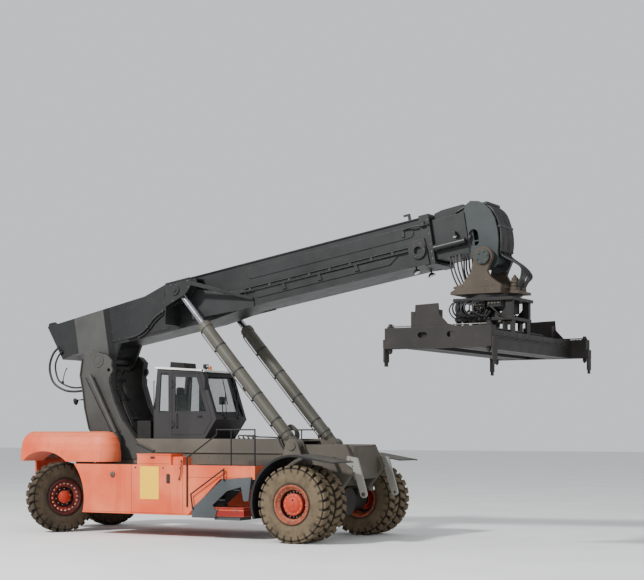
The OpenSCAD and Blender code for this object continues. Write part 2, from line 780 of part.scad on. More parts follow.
module cab_glass() color([0.6, 0.75, 0.75, 0.4]) {
    w = cab_w / 2;
    both_sides()
        plate_xz([
            [cab_back_x + 161, deck_z + 651], [cab_back_x + 459, deck_z + 651],
            [cab_back_x + 459, deck_z + cab_h - 141], [cab_back_x + 221, deck_z + cab_h - 131]
        ], -w + 10, -w + 18);
    translate([cab_back_x + cab_l, 0, deck_z + 480])
        rotate([0, -atan2(410, cab_h - 570), 0])
            block([-30, -w + 91, 61], [-22, w - 91, cab_h - 651]);
}

module cab_seat() color("black") {
    x = cab_back_x + 420;
    z = deck_z + cab_t;
    block([x, -180, z], [x + 380, 180, z + 300]);
    block([x - 60, -250, z + 300], [x + 460, 250, z + 430]);
    translate([x - 60, 0, z + 420])
        rotate([0, -8, 0])
            block([-60, -240, 0], [60, 240, 650]);
    block([x + 900, -300, z], [x + 1080, 300, z + 500]);
}

module cab_roof_unit() color("black") {
    plate_xz([
        [cab_back_x + 190, roof_z(190)], [cab_back_x + 640, roof_z(640)],
        [cab_back_x + 625, roof_z(640) + 150], [cab_back_x + 205, roof_z(190) + 160]
    ], -260, 260);
    // Work lamp over the windscreen
    block([cab_back_x + cab_l - 520, -500, roof_z(cab_l - 520) + 30],
        [cab_back_x + cab_l - 440, -360, roof_z(cab_l - 520) + 140]);
    plate_xz([
        [cab_back_x + cab_l - 495, roof_z(cab_l - 495)], [cab_back_x + cab_l - 465, roof_z(cab_l - 465)],
        [cab_back_x + cab_l - 465, roof_z(cab_l - 520) + 31],
        [cab_back_x + cab_l - 495, roof_z(cab_l - 520) + 31]
    ], -445, -415);
}

module door() {
    w = cab_w / 2;
    gap_outline = [
        [cab_back_x + 560 + door_gap, deck_z + 90 + door_gap],
        [cab_back_x + cab_l - 370 - door_gap, deck_z + 90 + door_gap],
        [cab_back_x + cab_l - 120 - door_gap, deck_z + 490],
        [cab_back_x + cab_l - 500 - door_gap, deck_z + cab_h - 180 - door_gap],
        [cab_back_x + 560 + door_gap, deck_z + cab_h - 150 - door_gap]
    ];
    difference() {
        plate_xz(gap_outline, -w, -w + door_t);
        plate_xz([
            [cab_back_x + 640, deck_z + 660], [cab_back_x + cab_l - 290, deck_z + 660],
            [cab_back_x + cab_l - 560, deck_z + cab_h - 250], [cab_back_x + 640, deck_z + cab_h - 230]
        ], -w - 1, -w + door_t + 1);
    }
    for (z = hinge_zs)
        translate([hinge_x, -w - hinge_r, z + seat_gap])
            difference() {
                union() {
                    cylinder(h = hinge_h - seat_gap, r = hinge_r);
                    block([0, 0, 0], [60, hinge_r + 5, hinge_h - seat_gap]);
                }
                translate([0, 0, -1])
                    cylinder(h = hinge_h + 2, r = hinge_pin_r + seat_gap);
            }
}
module door_right() color("dimgray") door();
module door_left() color("dimgray") mirror([0, 1, 0]) door();

// Boom

outer_boom_outline = [
    [-1720, 1240], [-1360, 290], [-1030, 350], [100, 340], [3200, 360], [4400, boom_bottom],
    [boom_l, boom_bottom], [boom_l, boom_top], [2200, boom_top], [1500, 1385]
];
inner_tail_s = 500;
// The inner boom is lower at its tail, under the slope of the outer boom's top
tail_step_s = 2150;
tail_high = 1270;
inner_half = boom_w / 2 - boom_t - boom_gap;
inner_low = boom_bottom + boom_t + boom_gap;
inner_high = boom_top - boom_t - boom_gap - 60;
head_face_s = head_pin_s - 236;
// Collar round the outer boom's mouth
collar_l = 250;
collar_t = 40;

module outer_boom() color([0.16, 0.17, 0.18]) on_boom() {
    side = boom_w / 2;
    difference() {
        union() {
            plate_xz(outer_boom_outline, -side, side);
            // Collar round the mouth
            block([boom_l - collar_l, -side - collar_t, boom_bottom - collar_t],
                [boom_l, side + collar_t, boom_top + collar_t]);
        }
        plate_xz([
            [inner_tail_s - 200, boom_bottom + boom_t], [boom_l + 10, boom_bottom + boom_t],
            [boom_l + 10, inner_high + boom_gap], [tail_step_s - 60, inner_high + boom_gap],
            [tail_step_s - 60, tail_high + boom_gap], [inner_tail_s - 200, tail_high + boom_gap]
        ], -side + boom_t, side - boom_t);
    }
    both_sides() {
        // Raised panel, hose rail and stiffened lower panel along the side
        plate_xz(round_bar(4580, boom_l - collar_l - 180, 1150, 1410), -side - 18, -side + 1);
        for (t = [840, 925])
            block([4480, -side - 62, t], [boom_l - collar_l - 20, -side + 1, t + 22]);
        plate_xz(concat(
            [[boom_l - 1150, 655], [boom_l - 930, 800]],
            arc(4850, 760, 105, 90, 270)
        ), -side - 24, -side + 1);
        for (s = [5600, 6600, 7600])
            plate_xz([[s - 60, 700], [s + 60, 700], [s + 20, 841], [s - 40, 841]], -side - 58, -side - 23);
        block([4720, -side - 45, boom_bottom], [boom_l - collar_l, -side + 1, boom_bottom + 28]);
        block([2240, -side - 32, boom_top - 26], [boom_l - collar_l, -side + 1, boom_top]);
        // Cover plate on the tail
        plate_xz([[300, 420], [300, 1110], [620, 1180], [2130, 1350], [2130, 420]], -side - 14, -side + 1);
        // Plate with the eye of the side lug
        difference() {
            union() {
                plate_xz([
                    [boom_l - 620, 480], [boom_l - 600, 1040], [boom_l - 170, 1060], [boom_l - 130, 440]
                ], -side - collar_t - 40, -side + 1);
                translate([boom_l - 350, 0, 800])
                    bar_y(190, -side - collar_t - 85, -side - collar_t);
            }
            translate([boom_l - 350, 0, 800])
                bar_y(95, -side - collar_t - 86, -side - collar_t - 20);
        }
        // Ears at the pivot
        plate_xz(concat(
            [[-420, 300]], arc(0, 0, 250, 205, 335, 12), [[520, 345], [0, 420]]
        ), -side, -side + 90);
    }
    // Wear pads that the inner boom slides on
    for (s = [boom_l - 320, boom_l - 3200])
        block([s, -280, boom_bottom + boom_t - 1], [s + 240, 280, inner_low - seat_gap]);
    // Hook and stop on the top, and the pivot pin
    block([boom_l - 590, -360, boom_top - 1], [boom_l - 540, -300, boom_top + 190]);
    block([boom_l - 700, -360, boom_top + 150], [boom_l - 540, -300, boom_top + 190]);
    bar_y(pivot_pin_r, -frame_half - 30, frame_half + 30);
    // Two lifting ears on the tail
    for (y = [-side + 40, side - 100])
        plate_xz([[-1745, 1200], [-1690, 1330], [-1500, 1330], [-1440, 1270]], y, y + 60);
}

eye_w = 180;
cheek_t = 50;
cheek_in = lift_y - eye_w / 2 - free_gap;
cheek_out = lift_y + eye_w / 2 + free_gap;
fairing_y = 740;

module lift_brackets() color([0.16, 0.17, 0.18]) on_boom() {
    cheek = [
        [2500, 860], [2600, 1430], [3330, 1430], [3360, 1270], [3210, 1110], [3110, 1040]
    ];
    wall = [[2390, 430], [2425, 430], [2520, 860], [2620, 1431], [2600, 1431], [2500, 860]];
    rear = boom_w / 2;
    both_sides() {
        plate_xz(cheek, -cheek_out - cheek_t, -cheek_out);
        plate_xz(cheek, -cheek_in, -cheek_in + cheek_t);
        plate_xz(wall, -cheek_out - cheek_t, -rear);
        // The cover is closed behind the eye and open above it
        block([2600, -cheek_out - cheek_t - 15, 1400], [2700, -rear, 1431]);
        for (y = [[-cheek_out - cheek_t - 15, -cheek_out], [-cheek_in, -rear]])
            block([2699, y[0], 1400], [3330, y[1], 1431]);
        // Fairing from the cheeks down to the boom's side
        hull() {
            block([3000, -fairing_y, boom_bottom], [3020, -rear, 1270]);
            block([4660, -rear - 24, boom_bottom - 20], [4690, -rear, 640]);
        }
        // Tapered strut along the fairing's top edge
        hull() {
            block([3320, -cheek_out - cheek_t, 1230], [3350, -cheek_out, 1330]);
            block([4640, -rear - 60, 620], [4690, -rear, 680]);
        }
        translate([lift_eye_s, 0, lift_eye_t]) {
            bar_y(135, -cheek_out - cheek_t - 30, -cheek_out - cheek_t + 1);
            bar_y(60, -cheek_out - cheek_t - 48, -cheek_out - cheek_t - 29);
        }
    }
}

inner_t = 25;
function inner_profile(s0, s1, inset) = [
    [s0, inner_low + inset], [s1, inner_low + inset], [s1, inner_high - inset],
    [tail_step_s + inset, inner_high - inset], [tail_step_s + inset, tail_high - inset],
    [s0, tail_high - inset]
];

module inner_boom() color([0.13, 0.13, 0.14]) on_boom() {
    difference() {
        plate_xz(inner_profile(inner_tail_s, head_face_s - 120, 0), -inner_half, inner_half);
        plate_xz(inner_profile(inner_tail_s - 1, head_face_s - 160, inner_t),
            -inner_half + inner_t, inner_half - inner_t);
    }
    // Raised hose guard on the top, ahead of the collar
    plate_xz([
        [boom_l + 60, inner_high - 1], [boom_l + 60, 1600], [boom_l + 260, 1640],
        [head_face_s - 160, 1650], [head_face_s - 125, inner_high - 1]
    ], -330, 330);
    // Hose tray and lamp on each side
    both_sides() {
        translate([boom_l + 20, -inner_half - 75, 780])
            rotate([0, 90, 0])
                cylinder(h = head_face_s - boom_l - 170, r = 72);
        block([boom_l + 560, -inner_half - 76, 700], [boom_l + 620, -inner_half + 1, 860]);
        block([boom_l + 40, -inner_half - 76, 700], [boom_l + 100, -inner_half + 1, 860]);
        block([boom_l + 520, -inner_half - 130, 930], [boom_l + 600, -inner_half + 1, 1040]);
    }
}

head_half = 420;
head_plate_t = 60;
pin_cap_r = 170;

module boom_head() color([0.36, 0.40, 0.40]) on_boom() {
    face = head_face_s;
    both_sides()
        difference() {
            plate_xz(concat(
                [[face - 120, 540], [face - 120, 1500], [face - 50, 1600], [face + 70, 1660],
                    [face + 260, 1610], [face + 400, 1500], [face + 515, 1340], [face + 580, 1150],
                    [face + 605, 900], [face + 590, 620]],
                arc(head_pin_s, head_pin_t, 290, 8, -170, 14),
                [[face - 120, 420]]
            ), -head_half, -head_half + head_plate_t);
            // Long hole beside the inner boom's end
            plate_xz(concat(
                arc(face + 20, 900, 110, 0, 180), arc(face + 20, 740, 110, 180, 360)
            ), -head_half - 1, -head_half + head_plate_t + 1);
        }
    block([face - 120, -head_half + 50, 620], [face, head_half - 50, inner_high]);
    // Curved front plate between the two side plates, with cross ribs
    plate_xz(concat(
        [[face + 60, 1600], [face + 250, 1550], [face + 380, 1450], [face + 480, 1310], [face + 535, 1140],
            [face + 555, 900], [face + 540, 640], [face + 500, 460]],
        [[face + 470, 470], [face + 508, 650], [face + 522, 900], [face + 503, 1130], [face + 452, 1293],
            [face + 360, 1425], [face + 240, 1520], [face + 55, 1566]]
    ), -head_half + 50, head_half - 50);
    for (t = [730, 1150])
        block([face - 1, -head_half + 50, t], [face + 520, head_half - 50, t + 30]);
    translate([head_pin_s, 0, head_pin_t]) {
        bar_y(head_pin_r, -hanger_leg_y - hanger_leg_t - 30, hanger_leg_y + hanger_leg_t + 30);
        for (y = [-hanger_leg_y - hanger_leg_t - 42, hanger_leg_y + hanger_leg_t + 2])
            bar_y(pin_cap_r, y, y + 40);
        bar_y(150, -head_half + 1, head_half - 1);
    }
}

// The rod draws back this far, with the boom level, before it meets the barrel's end
rod_draw = 520;
bore_start = 400;
barrel_neck = 260;
rod_in = bore_start + rod_draw + 40;

module lift_barrels() color([0.45, 0.48, 0.44]) on_lift() both_sides()
    difference() {
        union() {
            translate([barrel_neck, -lift_y, 0])
                rotate([0, 90, 0])
                    cylinder(h = barrel_l - barrel_neck, r = barrel_r);
            // Gland ring at the rod's end, and a ring where the hoses join
            for (c = [[barrel_l - 150, 110], [barrel_neck + 120, 70]])
                translate([c[0], -lift_y, 0])
                    rotate([0, 90, 0])
                        cylinder(h = c[1], r = barrel_r + 16);
            translate([barrel_neck - 120, -lift_y, 0])
                rotate([0, 90, 0])
                    cylinder(h = 125, r1 = barrel_r - 60, r2 = barrel_r, $fn = 24);
            block([0, -lift_y - barrel_eye_w / 2, -barrel_eye_w / 2],
                [barrel_neck + 1, -lift_y + barrel_eye_w / 2, barrel_eye_w / 2]);
            bar_y(barrel_r - 5, -lift_y - barrel_eye_w / 2, -lift_y + barrel_eye_w / 2);
        }
        bar_y(foot_pin_r + run_gap, -lift_y - 200, -lift_y + 200);
        translate([bore_start, -lift_y, 0])
            rotate([0, 90, 0])
                cylinder(h = barrel_l, r = rod_r + seat_gap);
    }

module lift_rods() color("silver") on_lift() both_sides() {
    translate([rod_in, -lift_y, 0])
        rotate([0, 90, 0])
            cylinder(h = lift_len - 70 - rod_in, r = rod_r);
    translate([lift_len, 0, 0])
        difference() {
            bar_y(130, -lift_y - eye_w / 2, -lift_y + eye_w / 2);
            bar_y(60, -lift_y - 200, -lift_y + 200);
        }
}

// Head and spreader

hanger_leg_t = 110;
hanger_leg_y = 505;
hanger_floor = head_z - 820;
hanger_plate_t = 140;
hanger_ring_r = 230;

module hanger() color([0.36, 0.33, 0.30]) {
    x = rotator_x;
    top = hanger_floor + hanger_plate_t;
    both_sides()
        difference() {
            plate_xz(concat(
                [[x - 720, top - 1], [x - 705, top + 40], [x - 500, top + 90], [x - 385, top + 220],
                    [x - 290, top + 360]],
                arc(x, head_z, hanger_ring_r, 190, -10, 14),
                [[x + 150, head_z - 200], [x + 105, top + 360], [x + 180, top + 230], [x + 330, top + 110],
                    [x + 430, top + 60], [x + 445, top - 1]]
            ), -hanger_leg_y - hanger_leg_t, -hanger_leg_y);
            translate([x, 0, head_z])
                bar_y(head_pin_r + run_gap, -700, 0);
        }
    plate_xz([
        [x - 770, hanger_floor], [x + 445, hanger_floor], [x + 445, top], [x - 620, top],
        [x - 770, hanger_floor + 60]
    ], -650, 650);
    // Shelf ahead of the plate, with the two turning motors on it
    block([x + 444, -380, hanger_floor], [x + 760, 380, hanger_floor + 60]);
    for (y = [-200, 200])
        translate([x + 600, y, hanger_floor + 59]) {
            cylinder(h = 90, r = 110);
            cylinder(h = 300, r = 78);
            for (z = [130, 210])
                translate([0, 0, z])
                    cylinder(h = 26, r = 92);
            translate([0, 0, 299])
                cylinder(h = 40, r = 45);
        }
}

rotator_r = 620;
carrier_z = spreader_z + end_beam_h + 120;

module rotator() color([0.12, 0.12, 0.12]) {
    top = hanger_floor - seat_gap;
    sled_z = carrier_z + 160;
    x = rotator_x;
    translate([x, 0, top - 90])
        cylinder(h = 90, r = rotator_r);
    block([x - 720, -620, top - 160], [x + 720, 620, top - 89]);
    // Swivel under the plate, with its hose drum
    translate([x, 0, top - 330])
        cylinder(h = 171, r = 330);
    translate([x, 0, carrier_z + 40])
        cylinder(h = top - 329 - carrier_z - 40, r = 150);
    // Sled: two long beams with end beams, and the posts that carry it
    for (m = [-1, 1]) {
        block([x + m * 560 - 125, -600, sled_z], [x + m * 560 + 125, 600, sled_z + 70]);
        block([x - 560, m * 570 - 30, sled_z], [x + 560, m * 570 + 30, sled_z + 70]);
        for (n = [-1, 1]) {
            block([x + m * 600 - 80, n * 500 - 60, sled_z + 69],
                [x + m * 600 + 80, n * 500 + 60, top - 159]);
            plate_xz([
                [x + m * 520, sled_z + 69], [x + m * 300, sled_z + 69], [x + m * 520, sled_z + 300]
            ], n * 500 - 12, n * 500 + 12);
        }
    }
    // Side-shift cylinder, and its twin behind
    for (s = [330, -330])
        translate([x + s, 0, sled_z + 120]) {
            bar_y(34, -560, 560);
            bar_y(62, -420, s > 0 ? 120 : 200);
            for (y = [-590, 545])
                block([-45, y, -52], [45, y + 45, 50]);
        }
    // Valve blocks and a tank under the plate
    block([x - 250, -590, top - 360], [x + 40, -400, top - 159]);
    block([x + 90, -580, top - 300], [x + 420, -430, top - 159]);
    block([x - 480, 300, top - 380], [x - 150, 590, top - 159]);
    translate([x + 330, 430, top - 400])
        cylinder(h = 242, r = 120);
    // Claws that reach under the rails of the spreader frame
    for (r = rail_xs)
        for (m = [-1, 1])
            for (y = [-550, 350]) {
                block([x + r + m * 90 - 25, y, rail_z + 20],
                    [x + r + m * 90 + 25, y + 200, carrier_z + 170]);
                block([x + r + (m > 0 ? 30 : -115), y, rail_z + 10],
                    [x + r + (m > 0 ? 115 : -30), y + 200, rail_z + 50 - seat_gap]);
            }
}

// Rails along the top of the spreader frame
rail_xs = [-560, 560];
rail_z = spreader_z + main_beam_h;

// Centres of the main beams across the spreader: two carry the right arm, two the left
right_beams = [-700, 400];
left_beams = [-400, 700];
main_half = spreader_l / 2 - 330;
cross_y = main_half - 300;
arm_in_half = main_beam_w / 2 - main_beam_t - 8;
arm_gap = 8;
collar_w = 100;
// Guides that hang outside the corners
guide_t = 40;
guide_h = 370;

module main_tube(x)
    translate([rotator_x + x, 0, spreader_z])
        difference() {
            block([-main_beam_w / 2, -main_half, 0], [main_beam_w / 2, main_half, main_beam_h]);
            block([-main_beam_w / 2 + main_beam_t, -main_half - 1, main_beam_t],
                [main_beam_w / 2 - main_beam_t, main_half + 1, main_beam_h - main_beam_t]);
        }

module spreader_frame() color([0.13, 0.13, 0.14]) {
    low = spreader_z + 60;
    high = spreader_z + main_beam_h - 60;
    for (x = concat(right_beams, left_beams)) {
        main_tube(x);
        // Collars over the tubes' open ends
        for (y = [-main_half, main_half - collar_w])
            block([rotator_x + x - main_beam_w / 2 - 12, y, rail_z - 1],
                [rotator_x + x + main_beam_w / 2 + 12, y + collar_w, rail_z + 24]);
    }
    for (y = [-cross_y, -800, 800, cross_y])
        block([rotator_x - 400 + main_beam_w / 2 - 1, y - 60, low],
            [rotator_x + 400 - main_beam_w / 2 + 1, y + 60, high]);
    for (x = [-550, 550])
        for (y = [-cross_y, cross_y])
            block([rotator_x + x - 40, y - 60, low], [rotator_x + x + 40, y + 60, high]);
    for (x = rail_xs) {
        block([rotator_x + x - 20, -1500, rail_z - 20], [rotator_x + x + 20, 1500, rail_z + 60]);
        block([rotator_x + x - 60, -1500, rail_z + 50], [rotator_x + x + 60, 1500, rail_z + 80]);
    }
    // Boxes for the motors that run the arms out
    for (m = [-1, 1])
        block([rotator_x - 240, m * 1500 - 260, rail_z - 100],
            [rotator_x + 240, m * 1500 + 260, rail_z + 90]);
    for (m = [-1, 1])
        for (y = [-1700, 1660])
            block([rotator_x + m * 250 - 20, y, rail_z - 90],
                [rotator_x + m * 250 + 20, y + 40, rail_z - 30]);
}

module spreader_arm(beams, gusset_x) {
    top = spreader_z + main_beam_h - main_beam_t - arm_gap;
    end_y = -spreader_l / 2;
    beam_top = spreader_z + end_beam_h;
    x = rotator_x;
    for (b = beams)
        block([x + b - arm_in_half, end_y + 10, spreader_z + main_beam_t + seat_gap],
            [x + b + arm_in_half, 1300, top]);
    difference() {
        block([x - spreader_w / 2, end_y, spreader_z], [x + spreader_w / 2, end_y + end_beam_t, beam_top]);
        plate_xz(round_bar(x - 445, x - 225, spreader_z + 210, spreader_z + 330), end_y - 1, end_y + 70);
        plate_xz(round_bar(x + 225, x + 445, spreader_z + 210, spreader_z + 330), end_y - 1, end_y + 70);
    }
    // Upright box on the end beam, with its sloping side
    plate_xz([
        [x + gusset_x[0], beam_top - 1], [x + gusset_x[0] + 15, beam_top + 470],
        [x + gusset_x[1], beam_top + 490], [x + gusset_x[1] + 20, beam_top + 260],
        [x + gusset_x[1] + 210, beam_top + 60], [x + gusset_x[1] + 420, beam_top - 1]
    ], end_y + 20, end_y + 60);
    block([x + gusset_x[0], end_y + 59, beam_top - 1],
        [x + gusset_x[1], end_y + end_beam_t, beam_top + 360]);
    block([x + gusset_x[0] - 90, end_y + 30, beam_top - 1],
        [x + gusset_x[0] + 1, end_y + 180, beam_top + 330]);
    // Guides outside the four corners of a container
    for (m = [-1, 1]) {
        block([x + m * spreader_w / 2 + (m > 0 ? -1 : -guide_out), end_y + 10, spreader_z + 20],
            [x + m * spreader_w / 2 + (m > 0 ? guide_out : 1), end_y + end_beam_t - 10, spreader_z + 200]);
        translate([x, end_y + 20, 0])
            corner_guide(m * (spreader_w / 2 + guide_out), end_beam_t - 50);
    }
}
// Hanging guide of one corner: a plate that narrows below
module corner_guide(x_out, w) {
    x0 = x_out > 0 ? x_out - guide_t : x_out;
    block([x0, 0, spreader_z - guide_h + 90], [x0 + guide_t, w, spreader_z + 21]);
    block([x0, 50, spreader_z - guide_h], [x0 + guide_t, w - 50, spreader_z - guide_h + 91]);
}
module spreader_arm_right() color([0.40, 0.40, 0.38]) spreader_arm(right_beams, [-525, 15]);
module spreader_arm_left() color([0.40, 0.40, 0.38]) mirror([0, 1, 0]) spreader_arm(left_beams, [-320, 360]);

module twistlocks() {
    for (x = [-1, 1])
        translate([rotator_x + x * (spreader_w / 2 - 90), -spreader_l / 2 + 100, spreader_z]) {
            translate([0, 0, -60])
                cylinder(h = 60, r = 45);
            translate([0, 0, -110])
                cylinder(h = 50, r1 = 18, r2 = 50);
        }
}
module twistlocks_right() color("dimgray") twistlocks();
module twistlocks_left() color("dimgray") mirror([0, 1, 0]) twistlocks();

chassis_frame();
boom_tower();
counterweight();
tank_right();
tank_left();
battery_box();
engine_block();
drive_axle();
steer_axle();
mudguards();
steps_right();
steps_left();
handrails();
tower_pipe();
lift_feet();
support_arms();
tow_coupling();
cab_shell();
cab_glass();
cab_seat();
cab_roof_unit();
door_right();
door_left();
knuckle_right();
knuckle_left();
rear_tyre_right();
rear_tyre_left();
rear_rim_right();
rear_rim_left();
front_tyres_right();
front_tyres_left();
front_rims_right();
front_rims_left();
outer_boom();
lift_brackets();
inner_boom();
boom_head();
lift_barrels();
lift_rods();
hanger();
rotator();
spreader_frame();
spreader_arm_right();
spreader_arm_left();
twistlocks_right();
twistlocks_left();
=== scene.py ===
# %% [markdown]
# A reach stacker, dressed for its portrait. The machine's construction comes in as a fixed frame:
# every beam, wheel and pin is already where it belongs, in metres, with +X forwards and +Z up.
# This lesson gives each of those pieces its finish, and adds the small things that a frame leaves out:
# wheel nuts, hoses, seals, lamp glass, tread plates and bolts.

# %% Load the frame
import json
import math
import random

import bmesh
import bpy
from mathutils import Matrix, Vector

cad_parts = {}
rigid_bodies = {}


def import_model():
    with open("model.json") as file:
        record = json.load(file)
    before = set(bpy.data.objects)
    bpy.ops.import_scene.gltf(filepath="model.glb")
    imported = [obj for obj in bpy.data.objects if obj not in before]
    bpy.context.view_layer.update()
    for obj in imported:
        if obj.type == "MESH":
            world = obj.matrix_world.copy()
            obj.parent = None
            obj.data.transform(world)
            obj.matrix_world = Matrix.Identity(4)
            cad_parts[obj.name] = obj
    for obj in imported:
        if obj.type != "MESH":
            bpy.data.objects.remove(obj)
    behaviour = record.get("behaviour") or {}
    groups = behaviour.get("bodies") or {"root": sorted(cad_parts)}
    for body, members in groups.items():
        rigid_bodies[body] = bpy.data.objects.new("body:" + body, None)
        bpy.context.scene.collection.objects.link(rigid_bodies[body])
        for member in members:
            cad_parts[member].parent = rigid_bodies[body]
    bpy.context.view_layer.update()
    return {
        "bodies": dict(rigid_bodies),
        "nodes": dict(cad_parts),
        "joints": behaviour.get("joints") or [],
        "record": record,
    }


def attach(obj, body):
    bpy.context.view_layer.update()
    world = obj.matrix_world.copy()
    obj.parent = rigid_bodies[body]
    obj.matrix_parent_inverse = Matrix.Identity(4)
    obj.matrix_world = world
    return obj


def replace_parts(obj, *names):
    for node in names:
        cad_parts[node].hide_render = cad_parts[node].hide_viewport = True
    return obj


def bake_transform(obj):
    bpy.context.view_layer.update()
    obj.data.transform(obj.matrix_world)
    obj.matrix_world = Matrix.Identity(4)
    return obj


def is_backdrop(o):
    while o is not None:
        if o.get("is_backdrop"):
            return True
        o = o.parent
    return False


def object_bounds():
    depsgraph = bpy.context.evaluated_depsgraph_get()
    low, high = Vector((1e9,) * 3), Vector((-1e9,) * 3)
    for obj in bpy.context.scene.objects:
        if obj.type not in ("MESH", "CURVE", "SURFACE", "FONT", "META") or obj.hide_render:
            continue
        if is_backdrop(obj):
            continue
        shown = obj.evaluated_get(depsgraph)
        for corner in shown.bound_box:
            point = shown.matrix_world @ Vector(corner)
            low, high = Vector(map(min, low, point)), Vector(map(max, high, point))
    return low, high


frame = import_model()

joints = {j["name"]: j for j in frame["joints"]}

# %% [markdown]
# The camera stands on the quay at a person's height and far off, as the photograph was taken. A long
# lens keeps the boom straight, and a vertical shift brings the high boom into the picture while the
# camera itself stays level, so that upright edges stay upright.

# %% Camera
CAMERA_PLACE = (18.8025, -31.16, 2.56)
CAMERA_HEADING = math.radians(29.3)
LENS_MM, LENS_SHIFT, FILM_MM = 82.9, 0.2196, 36.0
VIEW_END = 400.0
camera_data = bpy.data.cameras.new("camera")
camera_data.lens, camera_data.sensor_width = LENS_MM, FILM_MM
camera_data.shift_y, camera_data.clip_end = LENS_SHIFT, VIEW_END
camera = bpy.data.objects.new("camera", camera_data)
camera.location = CAMERA_PLACE
camera.rotation_euler = (math.radians(90.0), 0.0, CAMERA_HEADING)
bpy.context.scene.collection.objects.link(camera)
bpy.context.scene.camera = camera
print("camera at", CAMERA_PLACE)

# %% [markdown]
# A material here is a short recipe of nodes. The helper below keeps the recipes readable: it makes a
# node, fills its inputs by name, and links whatever is itself a socket. Every recipe reads the object's
# own coordinates, which are metres in the machine's frame, so grain keeps one size on every piece.

# %% Node helper
def linear(colour):
    """An everyday colour from 0 to 255, as the renderer's linear light."""
    shares = [c / 255 for c in colour]
    return tuple(c / 12.92 if c <= 0.04045 else ((c + 0.055) / 1.055) ** 2.4 for c in shares) + (1.0,)


def toned(colour, share):
    return linear([c * share for c in colour])


class Recipe:
    """One material's nodes."""

    def __init__(self, name):
        self.material = bpy.data.materials.new(name)
        self.material.use_nodes = True
        self.tree = self.material.node_tree
        self.shader = self.tree.nodes["Principled BSDF"]
        self.place = self.node("ShaderNodeTexCoord").outputs["Object"]

    def feed(self, socket, value):
        if isinstance(value, bpy.types.NodeSocket):
            self.tree.links.new(value, socket)
        else:
            socket.default_value = value

    def fill(self, node, inputs):
        for key, value in inputs.items():
            self.feed(node.inputs[key.replace("_", " ")], value)
        return node

    def node(self, kind, settings=(), **inputs):
        made = self.tree.nodes.new(kind)
        for key, value in dict(settings).items():
            setattr(made, key, value)
        return self.fill(made, inputs)

    def shade(self, **inputs):
        """Sets the shader's own inputs."""
        self.fill(self.shader, inputs)

    def two(self, kind, operation, a, b):
        made = self.node(kind, {"operation": operation})
        self.feed(made.inputs[0], a)
        self.feed(made.inputs[1], b)
        return made

    def maths(self, operation, a, b=0.0, clamp=False):
        made = self.two("ShaderNodeMath", operation, a, b)
        made.use_clamp = clamp
        return made.outputs[0]

    def times(self, a, b):
        return self.maths("MULTIPLY", a, b)

    def plus(self, a, b, clamp=False):
        return self.maths("ADD", a, b, clamp)

    def size(self, value):
        return self.maths("ABSOLUTE", value)

    def between(self, value, low, high):
        return self.times(self.maths("GREATER_THAN", value, low), self.maths("LESS_THAN", value, high))

    def vectors(self, operation, a, b=(0.0, 0.0, 0.0)):
        made = self.two("ShaderNodeVectorMath", operation, a, b)
        return made.outputs["Value" if operation in ("DOT_PRODUCT", "LENGTH") else "Vector"]

    def axis(self, vector, name):
        return self.node("ShaderNodeSeparateXYZ", Vector=vector).outputs[name]

    def noise(self, scale, detail=4.0, rough=0.55, stretch=(1, 1, 1)):
        place = self.node("ShaderNodeMapping", Vector=self.place, Scale=stretch).outputs[0]
        return self.node("ShaderNodeTexNoise", Vector=place, Scale=scale, Detail=detail,
                         Roughness=rough).outputs["Fac"]

    def ramp(self, value, low, high):
        """0 below low, 1 above high, and smooth between."""
        made = self.node("ShaderNodeMapRange", {"interpolation_type": "SMOOTHSTEP"}, Value=value)
        made.inputs["From Min"].default_value = low
        made.inputs["From Max"].default_value = high
        return made.outputs[0]

    def clouds(self, low, high, *noise):
        """Noise pulled apart into patches."""
        return self.ramp(self.noise(*noise), low, high)

    def mix(self, share, a, b):
        made = self.node("ShaderNodeMix", {"data_type": "RGBA"})
        for key, value in (("Factor", share), ("A", a), ("B", b)):
            self.feed(made.inputs[key], value)
        return made.outputs["Result"]

    def overpaint(self, share, colour):
        """Lays a colour over the one that the shader has."""
        socket = self.shader.inputs["Base Color"]
        self.feed(socket, self.mix(share, socket.links[0].from_socket, colour))

    def bump(self, height, strength, distance, **more):
        made = self.node("ShaderNodeBump", Height=height, Strength=strength, Distance=distance, **more)
        return made.outputs[0]


print("half grey as light:", round(linear((128, 128, 128))[0], 3))

# %% [markdown]
# Painted steel outdoors is never one colour. Sun bleaches it in broad clouds, rain draws streaks down
# its upright faces, dust settles on whatever looks up, and edges wear through to the metal. The recipe
# builds those four layers. Worn edges are found with a bevel: where a softened normal parts from the
# true one there is an edge. The same softened normal rounds every hard corner of the plates a little.

